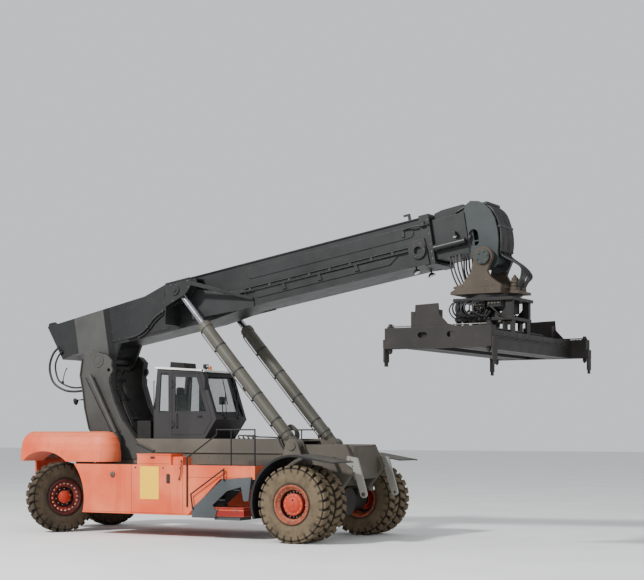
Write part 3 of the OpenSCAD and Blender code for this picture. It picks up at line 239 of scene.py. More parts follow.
# %% Painted steel
def painted(name, colour, faded=None, dust=0.35, wear=0.5, streaks=0.4, rough=0.5,
            grain=0.15, metal=(70, 62, 55), dust_colour=(112, 101, 84), edge=0.012):
    r = Recipe(name)
    paler = linear(faded or [min(255, c * 1.16 + 6) for c in colour])
    darker = tuple(c * 0.62 for c in linear(colour)[:3]) + (1.0,)
    paint = r.mix(r.clouds(0.36, 0.66, 0.55, 5.0), linear(colour), paler)
    rain = r.clouds(0.52, 0.78, 5.5, 5.0, 0.6, (1, 1, 0.07))
    paint = r.mix(r.times(rain, streaks * 0.6), paint, darker)
    blotch = r.clouds(0.56, 0.74, 2.6, 8.0, 0.7)
    paint = r.mix(r.times(blotch, 0.3 * dust), paint, linear(dust_colour))
    up = r.ramp(r.axis(r.node("ShaderNodeTexCoord").outputs["Normal"], "Z"), 0.35, 0.95)
    settled = r.times(up, r.clouds(0.2, 0.75, 7.0, 6.0))
    paint = r.mix(r.times(settled, dust), paint, linear(dust_colour))
    softened = r.node("ShaderNodeBevel", {"samples": 4}, Radius=edge).outputs[0]
    true = r.node("ShaderNodeNewGeometry").outputs["Normal"]
    bent = r.ramp(r.vectors("DOT_PRODUCT", softened, true), 0.985, 0.86)
    chips = r.clouds(0.47, 0.6, 11.0, 8.0, 0.7)
    paint = r.mix(r.times(r.times(bent, chips), wear), paint, linear(metal))
    gloss = r.plus(rough - 0.1, r.times(r.noise(3.2, 6.0), 0.22))
    r.shade(Base_Color=paint, Roughness=r.plus(gloss, r.times(settled, 0.2), True),
            Normal=r.bump(r.noise(42.0, 5.0), grain, 0.004, Normal=softened), Specular_IOR_Level=0.3)
    return r


PAINTS = {
    "faded_orange": dict(colour=(206, 78, 42), faded=(222, 112, 74), dust=0.5, streaks=0.75, rough=0.55,
                         dust_colour=(164, 104, 76)),
    "frame_grey": dict(colour=(74, 69, 61), dust=0.5, rough=0.6),
    "cast_engine": dict(colour=(44, 46, 46), dust=0.5, rough=0.6, grain=0.5),
    "axle_dark": dict(colour=(34, 32, 29), dust=0.5, rough=0.65, grain=0.4),
    "guard_black": dict(colour=(20, 19, 19)),
    "step_blue_grey": dict(colour=(58, 62, 64)),
    "pale_grey": dict(colour=(118, 117, 111), dust=0.3),
    "cab_grey": dict(colour=(35, 33, 34), dust=0.2, rough=0.45, wear=0.3),
    "rim_orange": dict(colour=(158, 40, 20), faded=(172, 56, 30), streaks=0.2, dust_colour=(112, 76, 58)),
    "head_grey": dict(colour=(37, 42, 42), dust=0.3, rough=0.45, edge=0.02),
    "barrel_grey": dict(colour=(66, 64, 57), rough=0.45),
    "hanger_brown": dict(colour=(58, 50, 41), dust=0.45, rough=0.65, wear=0.7, grain=0.3),
    "spreader_black": dict(colour=(22, 20, 19), dust=0.25, wear=0.6),
    "beam_grey": dict(colour=(25, 23, 21), faded=(37, 33, 30), rough=0.6, wear=0.8, grain=0.3,
                      metal=(92, 62, 46)),
}
finishes = {name: painted(name, **values).material for name, values in PAINTS.items()}
print("painted finishes:", len(finishes))

# %% [markdown]
# The boom is charcoal all over, but one section near its tail is paler: two light grey side panels, and
# after them a near-black strip that is painted shade for a recess. The stripe is placed along the boom's own
# length, so the recipe turns the object's coordinates by the boom's pitch and measures the way along it from
# the pivot. The tower's legs are painted near-black inside, in patchy tones: painted shade between them.

# %% Boom and tower paint
boom_way = joints["boom_extend"]["axis"]
PITCH = math.atan2(boom_way[2], boom_way[0])
pivot = Vector(joints["boom_lift"]["pos_m"])
along = Vector((math.cos(PITCH), 0.0, math.sin(PITCH)))
PALE_FROM, PALE_TO, SHADED_RECESS_TO = -0.81, 0.15, 0.36
SIDE_FACES = 0.48
INNER_FACE = 0.74


def boom_paint():
    r = painted("boom_charcoal", (25, 26, 26), (33, 34, 34), dust=0.2, streaks=0.3, rough=0.4, wear=0.8,
                metal=(84, 78, 70))
    s = r.maths("SUBTRACT", r.vectors("DOT_PRODUCT", r.place, along), pivot.dot(along))
    on_side = r.maths("GREATER_THAN", r.size(r.axis(r.place, "Y")), SIDE_FACES)
    pale = r.mix(r.clouds(0.35, 0.7, 1.2, 5.0), linear((56, 56, 54)), linear((69, 69, 66)))
    r.overpaint(r.times(r.between(s, PALE_FROM, PALE_TO), on_side), pale)
    # A near-black strip after the pale panels: painted shade for a recess in the side.
    r.overpaint(r.times(r.between(s, PALE_TO, SHADED_RECESS_TO), on_side), linear((14, 14, 15)))
    return r.material


def tower_paint():
    r = painted("tower_grey", (53, 52, 49), dust=0.3, rough=0.55)
    # Faces inside the legs are painted near-black: painted shade for the dark space between them.
    inner = r.maths("LESS_THAN", r.size(r.axis(r.place, "Y")), INNER_FACE)
    r.overpaint(inner, r.mix(r.clouds(0.35, 0.7, 2.2, 6.0), linear((20, 19, 18)), linear((38, 35, 31))))
    return r.material


finishes["boom_charcoal"] = boom_paint()
finishes["tower_grey"] = tower_paint()
print("boom pitch", round(math.degrees(PITCH), 2), "degrees")

# %% [markdown]
# The working tyres are caked with pale quay dust on their walls, and painted shade darkens them between the
# lugs and beside the bead; the rear ones are cleaner. The recipe measures the distance from the axle, so that
# dust, painted shade and moulded rings follow the wall round, and the turn about it, so that the painted
# shade of the flutes leads to the gaps between the lugs.

# %% Rubber
LUGS = 26


def from_axle(r, centre, axis):
    """Distance from a wheel's axle, which passes the centre along the axis."""
    return r.vectors("LENGTH", r.vectors("CROSS_PRODUCT", r.vectors("SUBTRACT", r.place, centre), axis))


def rubber(name, wall, shoulder, painted_shade, dusty):
    r = Recipe(name)
    away = from_axle(r, (0.0, 0.0, 0.0), (0.0, 1.0, 0.0))
    cake = r.times(r.clouds(0.25, 0.62, 3.0, 8.0, 0.65), dusty)
    groove_shade = r.times(r.ramp(away, 0.80, 0.825), r.ramp(away, 0.862, 0.838))
    turn = r.times(r.maths("ARCTAN2", r.axis(r.place, "Z"), r.axis(r.place, "X")), LUGS / math.tau)
    from_gap = r.size(r.maths("SUBTRACT", r.maths("FRACT", turn), 0.5))
    flutes = r.times(r.ramp(from_gap, 0.2, 0.1), r.times(r.ramp(away, 0.69, 0.75), r.ramp(away, 0.84, 0.82)))
    colour = r.mix(cake, linear(shoulder), linear(wall))
    # The groove, the flutes and the ring by the bead take painted shade: near-black where the carcass lies
    # between the lugs and meets the rim.
    for share, strength, layer in (
            (r.clouds(0.52, 0.68, 14.0, 8.0, 0.7), 0.4, linear(shoulder)),
            (groove_shade, 0.95, linear(painted_shade)),
            (flutes, 0.6, linear(painted_shade)),
            (r.ramp(away, 0.52, 0.47), 0.75, linear(painted_shade)),
            (r.ramp(away, 0.868, 0.885), 0.6, toned(wall, 0.86)),
            (r.clouds(0.42, 0.62, 38.0, 6.0, 0.7), 0.25, toned(wall, 0.7))):
        colour = r.mix(r.times(share, strength), colour, layer)
    rings = r.node("ShaderNodeTexNoise", {"noise_dimensions": "1D"}, W=r.times(away, 26.0),
                   Detail=2.0).outputs["Fac"]
    height = r.plus(r.noise(55.0, 6.0, 0.7), r.times(rings, 1.4))
    height = r.maths("SUBTRACT", height, r.times(flutes, 1.6))
    r.shade(Base_Color=colour, Roughness=0.88, Specular_IOR_Level=0.25, Normal=r.bump(height, 0.45, 0.006))
    return r.material


finishes["tyre_front"] = rubber("tyre_front", (106, 92, 72), (70, 61, 48), (17, 15, 13), 0.95)
finishes["tyre_rear"] = rubber("tyre_rear", (74, 64, 50), (46, 40, 32), (14, 13, 11), 0.85)
print("rubber for", LUGS, "lugs a side")

# %% [markdown]
# The rims carry their colours in rings round the axle. In front, quay dust has turned the outer ring to a
# dull salmon, the well is painted near-black as painted shade, and the planet hub stays bright. The rear rims
# have a dark red outer ring.

# %% Rims
def rim_paint(name, spin, rings, dust):
    """Rings are pairs of an outer radius and a colour, from the middle outwards."""
    r = painted(name, rings[0][1], dust=dust, streaks=0.15, dust_colour=(128, 96, 78))
    away = from_axle(r, joints[spin]["pos_m"], joints[spin]["axis"])
    for (radius, _), (_, colour) in zip(rings, rings[1:]):
        shade = r.mix(r.clouds(0.4, 0.64, 9.0, 7.0, 0.7), linear(colour), toned(colour, 0.72))
        r.overpaint(r.ramp(away, radius - 0.004, radius + 0.004), shade)
    return r.material


# The front's near-black middle ring is painted shade in the deep well.
FRONT_RINGS = [(0.256, (158, 42, 20)), (0.335, (26, 15, 11)), (1.0, (150, 76, 52))]
REAR_RINGS = [(0.165, (186, 54, 32)), (0.265, (64, 22, 17)), (0.365, (118, 36, 25)), (1.0, (74, 25, 19))]
for side in ("right", "left"):
    for rim, spin, rings, dust in (("front_rims_", "front_wheels_%s_spin", FRONT_RINGS, 0.3),
                                   ("rear_rim_", "rear_wheel_%s_spin", REAR_RINGS, 0.25)):
        finishes[rim + side] = rim_paint(rim + side, spin % side, rings, dust)
print("finishes with rubber and rims:", len(finishes))

# %% [markdown]
# Chrome, glass and the seat's cloth need recipes of their own. Then every node of the frame gets its
# finish: the one that bears the node's own name, or else the one that the record names for it.

# %% Chrome, glass and cloth
def chrome(name):
    r = Recipe(name)
    r.shade(Base_Color=r.mix(r.clouds(0.4, 0.7, 9.0), linear((168, 168, 172)), linear((132, 131, 134))),
            Metallic=1.0, Roughness=r.plus(0.14, r.times(r.noise(30.0), 0.16)))
    return r.material


def glass(name):
    r = Recipe(name)
    smear = r.clouds(0.4, 0.75, 2.4, 7.0)
    r.shade(Base_Color=r.mix(smear, linear((34, 42, 40)), linear((74, 80, 75))),
            Roughness=r.plus(0.04, r.times(smear, 0.12)), Alpha=0.22)
    return r.material


def cloth(name):
    r = Recipe(name)
    weave = r.node("ShaderNodeTexVoronoi", Vector=r.place, Scale=420.0).outputs["Distance"]
    r.shade(Base_Color=r.mix(r.clouds(0.35, 0.7, 6.0), linear((40, 40, 42)), linear((58, 57, 58))),
            Roughness=0.85, Sheen_Weight=0.3, Normal=r.bump(weave, 0.4, 0.001))
    return r.material


for name, recipe in (("rod_chrome", chrome), ("cab_glass", glass), ("seat_black", cloth)):
    finishes[name] = recipe(name)
slot_of = {part["node"]: part["material_slot"] for part in frame["record"]["subparts"]}
for name, node in frame["nodes"].items():
    node.data.materials.clear()
    node.data.materials.append(finishes.get(name) or finishes[slot_of[name]])
print("finishes:", len(finishes), "on", len(slot_of), "nodes")

# %% [markdown]
# The small pieces are built in one way. A Builder gathers simple solids into one mesh: boxes with softened
# edges, rods, hex bolts, turned profiles and hoses on smooth curves. When it is done, the mesh gets its
# finish and rides on the body that carries it; a piece given a bend is baked into place and rides on none.
# The builder keeps which of the frame's finishes it follows, though nothing reads it. A piece counts its
# places from its body's usual frame, unless it is given another.

# %% Builder
ALONG_Z = Vector((0.0, 0.0, 1.0))
# Which of the frame's finishes a small finish follows, unless the piece says otherwise
SLOTS = {"hose_black": "guard_black", "hose_dusty": "guard_black", "seal_black": "guard_black",
         "pipe_steel": "barrel_grey"}


def smooth_path(points, samples):
    """A Catmull-Rom curve through the points."""
    pts = [Vector(p) for p in points]
    pts = [pts[0] * 2 - pts[1]] + pts + [pts[-1] * 2 - pts[-2]]
    path = []
    for a, b, c, d in zip(pts, pts[1:], pts[2:], pts[3:]):
        for i in range(samples):
            t = i / samples
            path.append(0.5 * (2 * b + (c - a) * t + (2 * a - 5 * b + 4 * c - d) * t * t
                               + (3 * b - a - 3 * c + d) * t ** 3))
    return path + [pts[-2]]


def circle(place, axis, radius, count, start=0.0):
    turn = ALONG_Z.rotation_difference(Vector(axis).normalized())
    return [Vector(place) + turn @ Vector((radius * math.cos(a), radius * math.sin(a), 0.0))
            for a in (start + math.tau * i / count for i in range(count))]


class Builder:
    """Gathers solids into one piece that rides on one body, or on none once it is baked in place."""

    def __init__(self, name, body, finish, slot=None, frame=None, bend=None, own_origin=False):
        self.name, self.body, self.finish = name, body, finish
        self.slot = slot or (finish if finish in finishes else SLOTS.get(finish))
        self.frame = frame or FRAMES[body]
        self.bend, self.own_origin = bend, own_origin
        self.mesh = bmesh.new()

    def face(self, corners):
        if len(set(corners)) > 2:
            self.mesh.faces.new(corners)

    def loft(self, rings, close_ends=True):
        rows = [[self.mesh.verts.new(p) for p in ring] for ring in rings]
        count = len(rows[0])
        for a, b in zip(rows, rows[1:]):
            for i in range(count):
                j = (i + 1) % count
                self.face((a[i], a[j], b[j], b[i]))
        if close_ends:
            self.face(tuple(reversed(rows[0])))
            self.face(tuple(rows[-1]))
        return self

    def box(self, low, high, soft=0.004):
        low, high = Vector(low), Vector(high)
        s = min(soft, min(high - low) * 0.3)
        rings = []
        for z, inset in ((low.z, s), (low.z + s, 0.0), (high.z - s, 0.0), (high.z, s)):
            x0, x1, y0, y1 = low.x + inset, high.x - inset, low.y + inset, high.y - inset
            rings.append([(x0 + s, y0, z), (x1 - s, y0, z), (x1, y0 + s, z), (x1, y1 - s, z),
                          (x1 - s, y1, z), (x0 + s, y1, z), (x0, y1 - s, z), (x0, y0 + s, z)])
        return self.loft(rings)

    def turned(self, place, axis, profile, sides=32):
        """A profile of (radius, height) pairs turned about an axis."""
        axis = Vector(axis).normalized()
        return self.loft([circle(Vector(place) + axis * h, axis, max(r, 1e-4), sides) for r, h in profile])

    def rod(self, a, b, radius, sides=14):
        a, b = Vector(a), Vector(b)
        length, soft = (b - a).length, min(radius * 0.2, 0.004)
        return self.turned(a, b - a, [(radius - soft, 0.0), (radius, soft), (radius, length - soft),
                                      (radius - soft, length)], sides)

    def bolt(self, place, axis, radius, height):
        """A washer and a six-sided head."""
        place, axis = Vector(place), Vector(axis).normalized()
        self.turned(place - axis * 0.002, axis, [(radius * 1.45, 0.0), (radius * 1.45, height * 0.22)], 14)
        return self.turned(place, axis, [(radius, 0.0), (radius, height * 0.88), (radius * 0.8, height)], 6)

    def bolts(self, places, axis, radius, height):
        for place in places:
            self.bolt(place, axis, radius, height)

    def hose(self, points, radius, sides=10, samples=7, ends=True):
        path = smooth_path(points, samples)
        side = (path[1] - path[0]).orthogonal().normalized()
        rings = []
        for i, place in enumerate(path):
            way = (path[min(i + 1, len(path) - 1)] - path[max(i - 1, 0)]).normalized()
            side = (side - way * side.dot(way)).normalized()
            up = way.cross(side)
            rings.append([place + (side * math.cos(a) + up * math.sin(a)) * radius
                          for a in (math.tau * k / sides for k in range(sides))])
        self.loft(rings)
        if ends:
            for place, way in ((path[0], path[1] - path[0]), (path[-1], path[-2] - path[-1])):
                way = way.normalized()
                self.turned(place - way * 0.012, way, [(radius * 1.18, 0.0), (radius * 1.3, 0.012),
                                                       (radius * 1.3, 0.05), (radius * 1.1, 0.06)], sides)
        return self

    def plate(self, outline, y0, y1):
        """An outline in X and Z, as thick as the way from y0 to y1."""
        return self.loft([[(x, y, z) for x, z in outline] for y in (y0, y1)])

    def mirrored(self):
        """Adds the same again on the machine's left side."""
        copy = bmesh.ops.duplicate(self.mesh, geom=self.mesh.verts[:] + self.mesh.faces[:])
        for v in copy["geom"]:
            if isinstance(v, bmesh.types.BMVert):
                v.co.y = -v.co.y
        faces = [f for f in copy["geom"] if isinstance(f, bmesh.types.BMFace)]
        bmesh.ops.reverse_faces(self.mesh, faces=faces)
        return self

    def flipped(self):
        """Moves everything to the machine's left side."""
        for v in self.mesh.verts:
            v.co.y = -v.co.y
        return self

    def done(self, sharp=32.0):
        bmesh.ops.recalc_face_normals(self.mesh, faces=self.mesh.faces[:])
        if not self.own_origin:
            self.mesh.transform(self.frame)
        data = bpy.data.meshes.new(self.name)
        self.mesh.to_mesh(data)
        self.mesh.free()
        data.shade_smooth()
        data.set_sharp_from_angle(angle=math.radians(sharp))
        data.materials.append(finishes.get(self.finish) or details[self.finish])
        piece = bpy.data.objects.new(self.name, data)
        if self.own_origin:
            piece.matrix_world = self.frame
        bpy.context.scene.collection.objects.link(piece)
        if self.bend:
            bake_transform(piece)
        else:
            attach(piece, self.body)
        return piece


def finish_all(*pieces, mirror=False, flip=False):
    for piece in pieces:
        if mirror:
            piece.mirrored()
        if flip:
            piece.flipped()
        piece.done()


print("a hose through 3 points has", len(smooth_path([(0, 0, 0), (1, 0, 0), (1, 1, 0)], 7)), "rings")

# %% [markdown]
# Pieces on the boom are placed along the boom: s runs forward from its pivot, y across, t stands on it.
# Pieces on a lift cylinder are placed the same way from its foot. Pieces on the chassis count from the
# rear axle, those of the cab from its own corner, and pieces at the head from the turning axis.

# %% Places
rear_x = joints["steer_right_turn"]["pos_m"][0]
front_x = joints["front_wheels_right_spin"]["pos_m"][0]
turn_axis = Vector(joints["rotator_turn"]["pos_m"])
across = Vector((-along.z, 0.0, along.x))
CAB_CORNER = Vector((2.72, 0.0, 2.38))


def on_boom(s, y, t):
    return pivot + along * s + across * t + Vector((0.0, y, 0.0))


def on_chassis(x, y, z):
    return Vector((rear_x + x, y, z))


def at_head(x, y, z):
    return Vector((turn_axis.x + x, y, turn_axis.z + z))


def leaning_frame(origin, way):
    """X runs along the way, Y stays across, Z stands on it."""
    made = Matrix((way, (0.0, 1.0, 0.0), (-way.z, 0.0, way.x))).transposed().to_4x4()
    made.translation = origin
    return made


boom_frame = leaning_frame(pivot, along)
ram_frame = leaning_frame(joints["lift_barrel_tilt"]["pos_m"], Vector(joints["lift_rod_slide"]["axis"]))
chassis_frame = Matrix.Translation((rear_x, 0.0, 0.0))
cab_frame = Matrix.Translation(on_chassis(*CAB_CORNER))
head_frame = Matrix.Translation(turn_axis)
FRAMES = {"chassis": chassis_frame, "boom": boom_frame, "boom_inner": boom_frame,
          "lift_barrel_pair": ram_frame}
for body in ("hanger_body", "rotator_body", "spreader", "arm_right", "arm_left"):
    FRAMES[body] = head_frame
print("rear axle at", round(rear_x, 3), "front axle at", round(front_x, 3))

# %% [markdown]
# The small pieces need a few finishes of their own: hose rubber, zinc-plated bolts, lamp glass, a blank
# yellow plate, tread plate, and lenses in red and amber.

# %% Finishes of the small pieces
def plain(name, colour, rough, metallic=0.0, spread=0.85, hose=False):
    r = Recipe(name)
    r.shade(Base_Color=r.mix(r.clouds(0.35, 0.68, 14.0, 6.0), linear(colour), toned(colour, spread)),
            Metallic=metallic, Roughness=r.plus(rough, r.times(r.noise(23.0), 0.12)))
    if hose:
        r.shade(Normal=r.bump(r.noise(160.0, 4.0), 0.3, 0.002))
    return r.material


def lens(name, colour):
    r = Recipe(name)
    ribs = r.node("ShaderNodeTexWave", {"bands_direction": "Z"}, Vector=r.place, Scale=34.0).outputs["Fac"]
    r.shade(Base_Color=linear(colour), Roughness=0.08, Coat_Weight=1.0, Normal=r.bump(ribs, 0.3, 0.002))
    return r.material


# Colour, roughness, share of metal, tone of the darker clouds, and whether a fine grain is pressed in
PLAIN = {
    "hose_black": ((21, 20, 20), 0.5, 0.0, 0.85, True),
    "hose_dusty": ((56, 52, 46), 0.7, 0.0, 0.85, True),
    "bolt_steel": ((120, 112, 100), 0.36, 0.75, 0.6),
    "bolt_dusty": ((104, 88, 70), 0.6, 0.2, 0.6),
    "bolt_pale": ((186, 166, 152), 0.5, 0.0, 0.7),
    "pipe_steel": ((104, 102, 97), 0.34, 0.7, 0.7),
    "sign_yellow": ((242, 188, 0), 0.6, 0.0, 0.98),
    "tread_plate": ((50, 50, 48), 0.5, 0.35, 0.8),
    "seal_black": ((26, 26, 27), 0.6),
    # Painted shade for hollows: the wells and holes of the wheels
    "hollow_shade": ((14, 13, 13), 0.8),
}
LENSES = {"lamp_glass": (226, 230, 230), "lamp_red": (176, 26, 20), "lamp_amber": (232, 128, 24)}
TRIM_PAINTS = {
    "tool_red": dict(colour=(124, 26, 18), dust=0.3),
    "roof_trim": dict(colour=(190, 190, 187), dust=0.15, rough=0.4),
    "pale_trim": dict(colour=(132, 132, 130), dust=0.2, rough=0.4),
}
details = {name: plain(name, *values) for name, values in PLAIN.items()}
details.update((name, lens(name, colour)) for name, colour in LENSES.items())
details.update((name, painted(name, **values).material) for name, values in TRIM_PAINTS.items())
print("small finishes:", len(details))

# %% [markdown]
# A tyre is a turned carcass with a moulded bead ring and a bulging wall, and chunky lugs set over both
# shoulders. Each lug is lofted from the wall up over the shoulder and in towards the middle, where the
# two sides' lugs interleave. The wheels have frames of their own, with Y along the axle and the outer
# face towards -Y, so the rubber's dust can follow the distance from the axle.

# %% Tyres
# Radius and place across the tyre, from the outer bead to the middle of the tread
CARCASS = [(0.436, 0.165), (0.440, 0.192), (0.452, 0.208), (0.470, 0.213), (0.484, 0.208), (0.497, 0.213),
           (0.530, 0.224), (0.600, 0.2295), (0.655, 0.2300), (0.664, 0.2275), (0.673, 0.2295),
           (0.740, 0.2265), (0.800, 0.2180), (0.822, 0.2050), (0.834, 0.1800), (0.838, 0.1200)]
CARCASS_STEPS = 108
# Along a lug: place across the tyre, top and foot radius, half width, and how far it leans
LUG = [(0.2275, 0.772, 0.74, 0.50, 0.0), (0.2290, 0.800, 0.75, 0.66, 0.0), (0.2265, 0.858, 0.77, 0.70, 0.0),
       (0.2150, 0.884, 0.79, 0.70, 0.02), (0.1900, 0.8925, 0.80, 0.68, 0.08),
       (0.1200, 0.8945, 0.82, 0.62, 0.30), (0.0450, 0.8950, 0.82, 0.56, 0.52),
       (0.0100, 0.8945, 0.82, 0.48, 0.60)]
LUG_SECTION = [(-1.10, 0.0), (-1.0, 0.82), (-0.84, 1.0), (0.0, 1.0), (0.84, 1.0), (1.0, 0.82), (1.10, 0.0)]
TWIN_GAP = 0.58


def add_tyre(builder, centre_y, seed):
    rng = random.Random(seed)
    profile = CARCASS + [(r, -y) for r, y in reversed(CARCASS)]
    rows = []
    for i in range(CARCASS_STEPS):
        a = math.tau * i / CARCASS_STEPS
        rows.append([builder.mesh.verts.new((r * math.cos(a), centre_y + y, r * math.sin(a)))
                     for r, y in profile])
    for a, b in zip(rows, rows[1:] + rows[:1]):
        for i in range(len(profile)):
            j = (i + 1) % len(profile)
            builder.face((a[i], a[j], b[j], b[i]))
    pitch = math.tau / LUGS
    for side in (-1, 1):
        for k in range(LUGS):
            middle = pitch * (k + (0.5 if side > 0 else 0.0)) + rng.uniform(-0.004, 0.004)
            worn = rng.uniform(0.0, 0.003)
            rings = []
            for y, top, foot, half, lean in LUG:
                angles = [(middle + pitch * (u * half + lean) * 0.5, share) for u, share in LUG_SECTION]
                rings.append([((foot + (top - worn - foot) * share) * math.cos(a), centre_y + side * y,
                               (foot + (top - worn - foot) * share) * math.sin(a)) for a, share in angles])
            builder.loft(rings)


def wheel_frame(joint, outward):
    """Y along the axle, with the outer face towards -Y."""
    y = Vector(joint["axis"]) * -outward
    made = Matrix((y.cross(ALONG_Z).normalized(), y, ALONG_Z)).transposed().to_4x4()
    made.translation = joint["pos_m"]
    return made


wheels = {}
for place, body in (("front_", "front_wheels_"), ("rear_", "rear_wheel_")):
    for side, outward in (("right", -1), ("left", 1)):
        wheels[place + side] = wheel_frame(joints[body + side + "_spin"], outward), body + side
for place, (wheel, body) in wheels.items():
    axle, side = place.split("_")
    tyre = Builder("tyres_" + place, body, "tyre_" + axle, frame=wheel, own_origin=True)
    for n in range(2 if axle == "front" else 1):
        add_tyre(tyre, TWIN_GAP * n, len(place) + n)
    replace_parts(tyre.done(sharp=38.0), ("front_tyres_" if axle == "front" else "rear_tyre_") + side)
print("tyres on", len(wheels), "wheels")

# %% [markdown]
# The rims carry their rings of bolts. At the front a planet hub stands out from a deep well; at the
# rear the dish shows a ring of pale bolts round a bright hub. Near-black rings and spots in the wells and on
# the front hub are painted shade for the hollows and holes there. Every wheel also has its valve. A table
# gives each ring's count, radius and bolt size, so that one loop dresses both kinds of wheel.

# %% Wheel nuts and hubs
OUT = Vector((0.0, -1.0, 0.0))
# Rings of bolts: how many, the ring's radius, how far out, a bolt's radius and height, and the first angle
BOLT_RINGS = {
    "front": [(22, 0.292, 0.034, 0.015, 0.02, 0.0), (12, 0.214, 0.142, 0.011, 0.012, 0.13)],
    "rear": [(20, 0.346, 0.182, 0.0185, 0.026, 0.05), (10, 0.205, 0.088, 0.015, 0.022, 0.2),
             (6, 0.138, 0.205, 0.008, 0.01, 0.3)],
}
# Near-black turned pieces: painted shade lining each well, and dark spots for holes in the front hub.
WELL_SHADES = {
    "front": [((0.0, 0.02, 0.0),
               [(0.249, 0.0), (0.326, 0.0), (0.326, 0.036), (0.262, 0.05), (0.249, 0.05)], 56),
              ((0.012, -0.1755, 0.108), [(0.026, 0.0), (0.026, 0.004), (0.02, 0.005)], 6),
              ((-0.07, -0.1735, -0.07), [(0.013, 0.0), (0.013, 0.005)], 12)],
    "rear": [((0.0, -0.055, 0.0),
              [(0.162, 0.0), (0.256, 0.0), (0.256, 0.036), (0.24, 0.04), (0.162, 0.04)], 48)],
}
HUBS = {
    "front": [((0.0, -0.139, 0.0),
               [(0.18, 0.0), (0.252, 0.0), (0.252, 0.006), (0.236, 0.014), (0.18, 0.014)], 56),
              ((0.0, -0.161, 0.0), [(0.168, 0.0), (0.15, 0.012), (0.06, 0.02), (0.01, 0.022)], 48),
              ((0.0, -0.176, 0.0), [(0.052, 0.0), (0.052, 0.014), (0.044, 0.018)], 6)],
    "rear": [((0.0, -0.199, 0.0), [(0.118, 0.0), (0.158, 0.0), (0.158, 0.005), (0.118, 0.009)], 48),
             ((0.0, -0.221, 0.0), [(0.108, 0.0), (0.1, 0.012), (0.04, 0.022), (0.005, 0.023)], 40)],
}
VALVE_R = {"front": 0.40, "rear": 0.39}
for place, (wheel, body) in wheels.items():
    axle = place.split("_")[0]
    nuts = Builder("nuts_" + place, body, "bolt_pale", frame=wheel)
    hub = Builder("hub_" + place, body, "rim_orange", frame=wheel)
    well_shade = Builder("shaded_well_" + place, body, "hollow_shade", frame=wheel)
    for count, ring, out, radius, height, start in BOLT_RINGS[axle]:
        nuts.bolts(circle(OUT * out, OUT, ring, count, start), OUT, radius, height)
    if axle == "front":
        for spot in circle(OUT * 0.16, OUT, 0.372, 16, 0.1):
            nuts.turned(spot, OUT, [(0.012, 0.0), (0.012, 0.016), (0.007, 0.022)], 10)
    for builder, table in ((well_shade, WELL_SHADES), (hub, HUBS)):
        for spot, profile, sides in table[axle]:
            builder.turned(spot, OUT, profile, sides)
    nuts.rod((VALVE_R[axle], -0.19, 0.0), (VALVE_R[axle] - 0.03, -0.226, 0.0), 0.007, 10)
    finish_all(nuts, hub, well_shade)
print("wheel nuts set")

# %% [markdown]
# On the side tanks: a blank yellow plate where the photograph shows a sign, panel seams, handles and
# latches. The steps and the walkways beside the cab get ribbed or chequered treads. A seam could be cut
# into the tank as a groove, but a thin black strip reads the same from outside and costs a few faces.

# %% Tank trim and treads
TANK_SIDE = -1.70


def side_box(builder, x0, z0, x1, z1, out, into=0.0, soft=0.004):
    """A box on the tank's side, standing out of it and reaching a little into it."""
    builder.box((x0, TANK_SIDE - out, z0), (x1, TANK_SIDE + into, z1), soft)


sign = Builder("sign_plate", "chassis", "sign_yellow")
side_box(sign, 3.035, 0.91, 3.595, 1.71, 0.006, soft=0.002)
sign.done()

seams = Builder("panel_seams", "chassis", "seal_black")
for seam in ((2.765, 0.56, 2.772, 1.745), (4.295, 0.56, 4.302, 1.745), (1.30, 0.575, 4.42, 0.581),
             (4.43, 1.46, 6.33, 1.466), (2.99, 1.775, 3.91, 1.781)):
    side_box(seams, *seam, 0.002, 0.002, 0.0005)
side_box(seams, 3.83, 1.31, 3.92, 1.53, 0.03, soft=0.012)
side_box(seams, 3.35, 1.90, 3.47, 1.95, 0.02, soft=0.01)

latches = Builder("latches", "chassis", "bolt_steel")
for x in (2.87, 3.70, 4.20):
    side_box(latches, x, 1.66, x + 0.05, 1.70, 0.012)
for x, z in ((3.06, 0.935), (3.57, 0.935), (3.06, 1.685), (3.57, 1.685)):
    latches.turned((x, TANK_SIDE - 0.005, z), OUT, [(0.009, 0.0), (0.007, 0.005)], 10)
latches.turned((2.2, TANK_SIDE - 0.001, 1.5), OUT,
               [(0.07, 0.0), (0.07, 0.02), (0.055, 0.034), (0.02, 0.036)], 32)
latches.turned((2.2, TANK_SIDE - 0.036, 1.5), OUT, [(0.018, 0.0), (0.018, 0.014)], 10)

treads = Builder("treads", "chassis", "tread_plate", "step_blue_grey")
STEP_OUT, STEP_IN = -1.712, -1.125
STEP_SLOPE = 1.0674
for z in (0.67, 0.97, 1.27):
    x = 4.421 + (z - 0.54) * STEP_SLOPE + 0.022
    treads.box((x, STEP_OUT, z), (x + 0.246, STEP_IN, z + 0.004), 0.001)
    for k in range(6):
        treads.box((x + 0.015 + 0.04 * k, STEP_OUT + 0.03, z + 0.003),
                   (x + 0.03 + 0.04 * k, STEP_IN - 0.03, z + 0.011), 0.002)
for k in range(20):
    x = 5.46 + 0.04 * k
    treads.box((x, STEP_OUT + 0.03, 1.419), (x + 0.014, STEP_IN - 0.03, 1.427), 0.002)
CHEQUER = 0.09
for x0, x1 in ((1.36, 2.92), (4.30, 6.32)):
    treads.box((x0, -1.68, 1.7495), (x1, -0.85, 1.7535), 0.001)
    for k in range(int((x1 - x0) / CHEQUER)):
        for m in range(9):
            x, y = x0 + 0.04 + CHEQUER * k, -1.64 + CHEQUER * m
            lean = 0.016 if (k + m) % 2 else -0.016
            treads.loft([[(x + end * lean - 0.004, y + end * 0.016, 1.753),
                          (x + end * lean + 0.004, y + end * 0.016, 1.753),
                          (x + end * lean, y + end * 0.016, 1.7565)] for end in (-1, 1)])
finish_all(seams, latches, treads, mirror=True)
print("treads and seams laid")

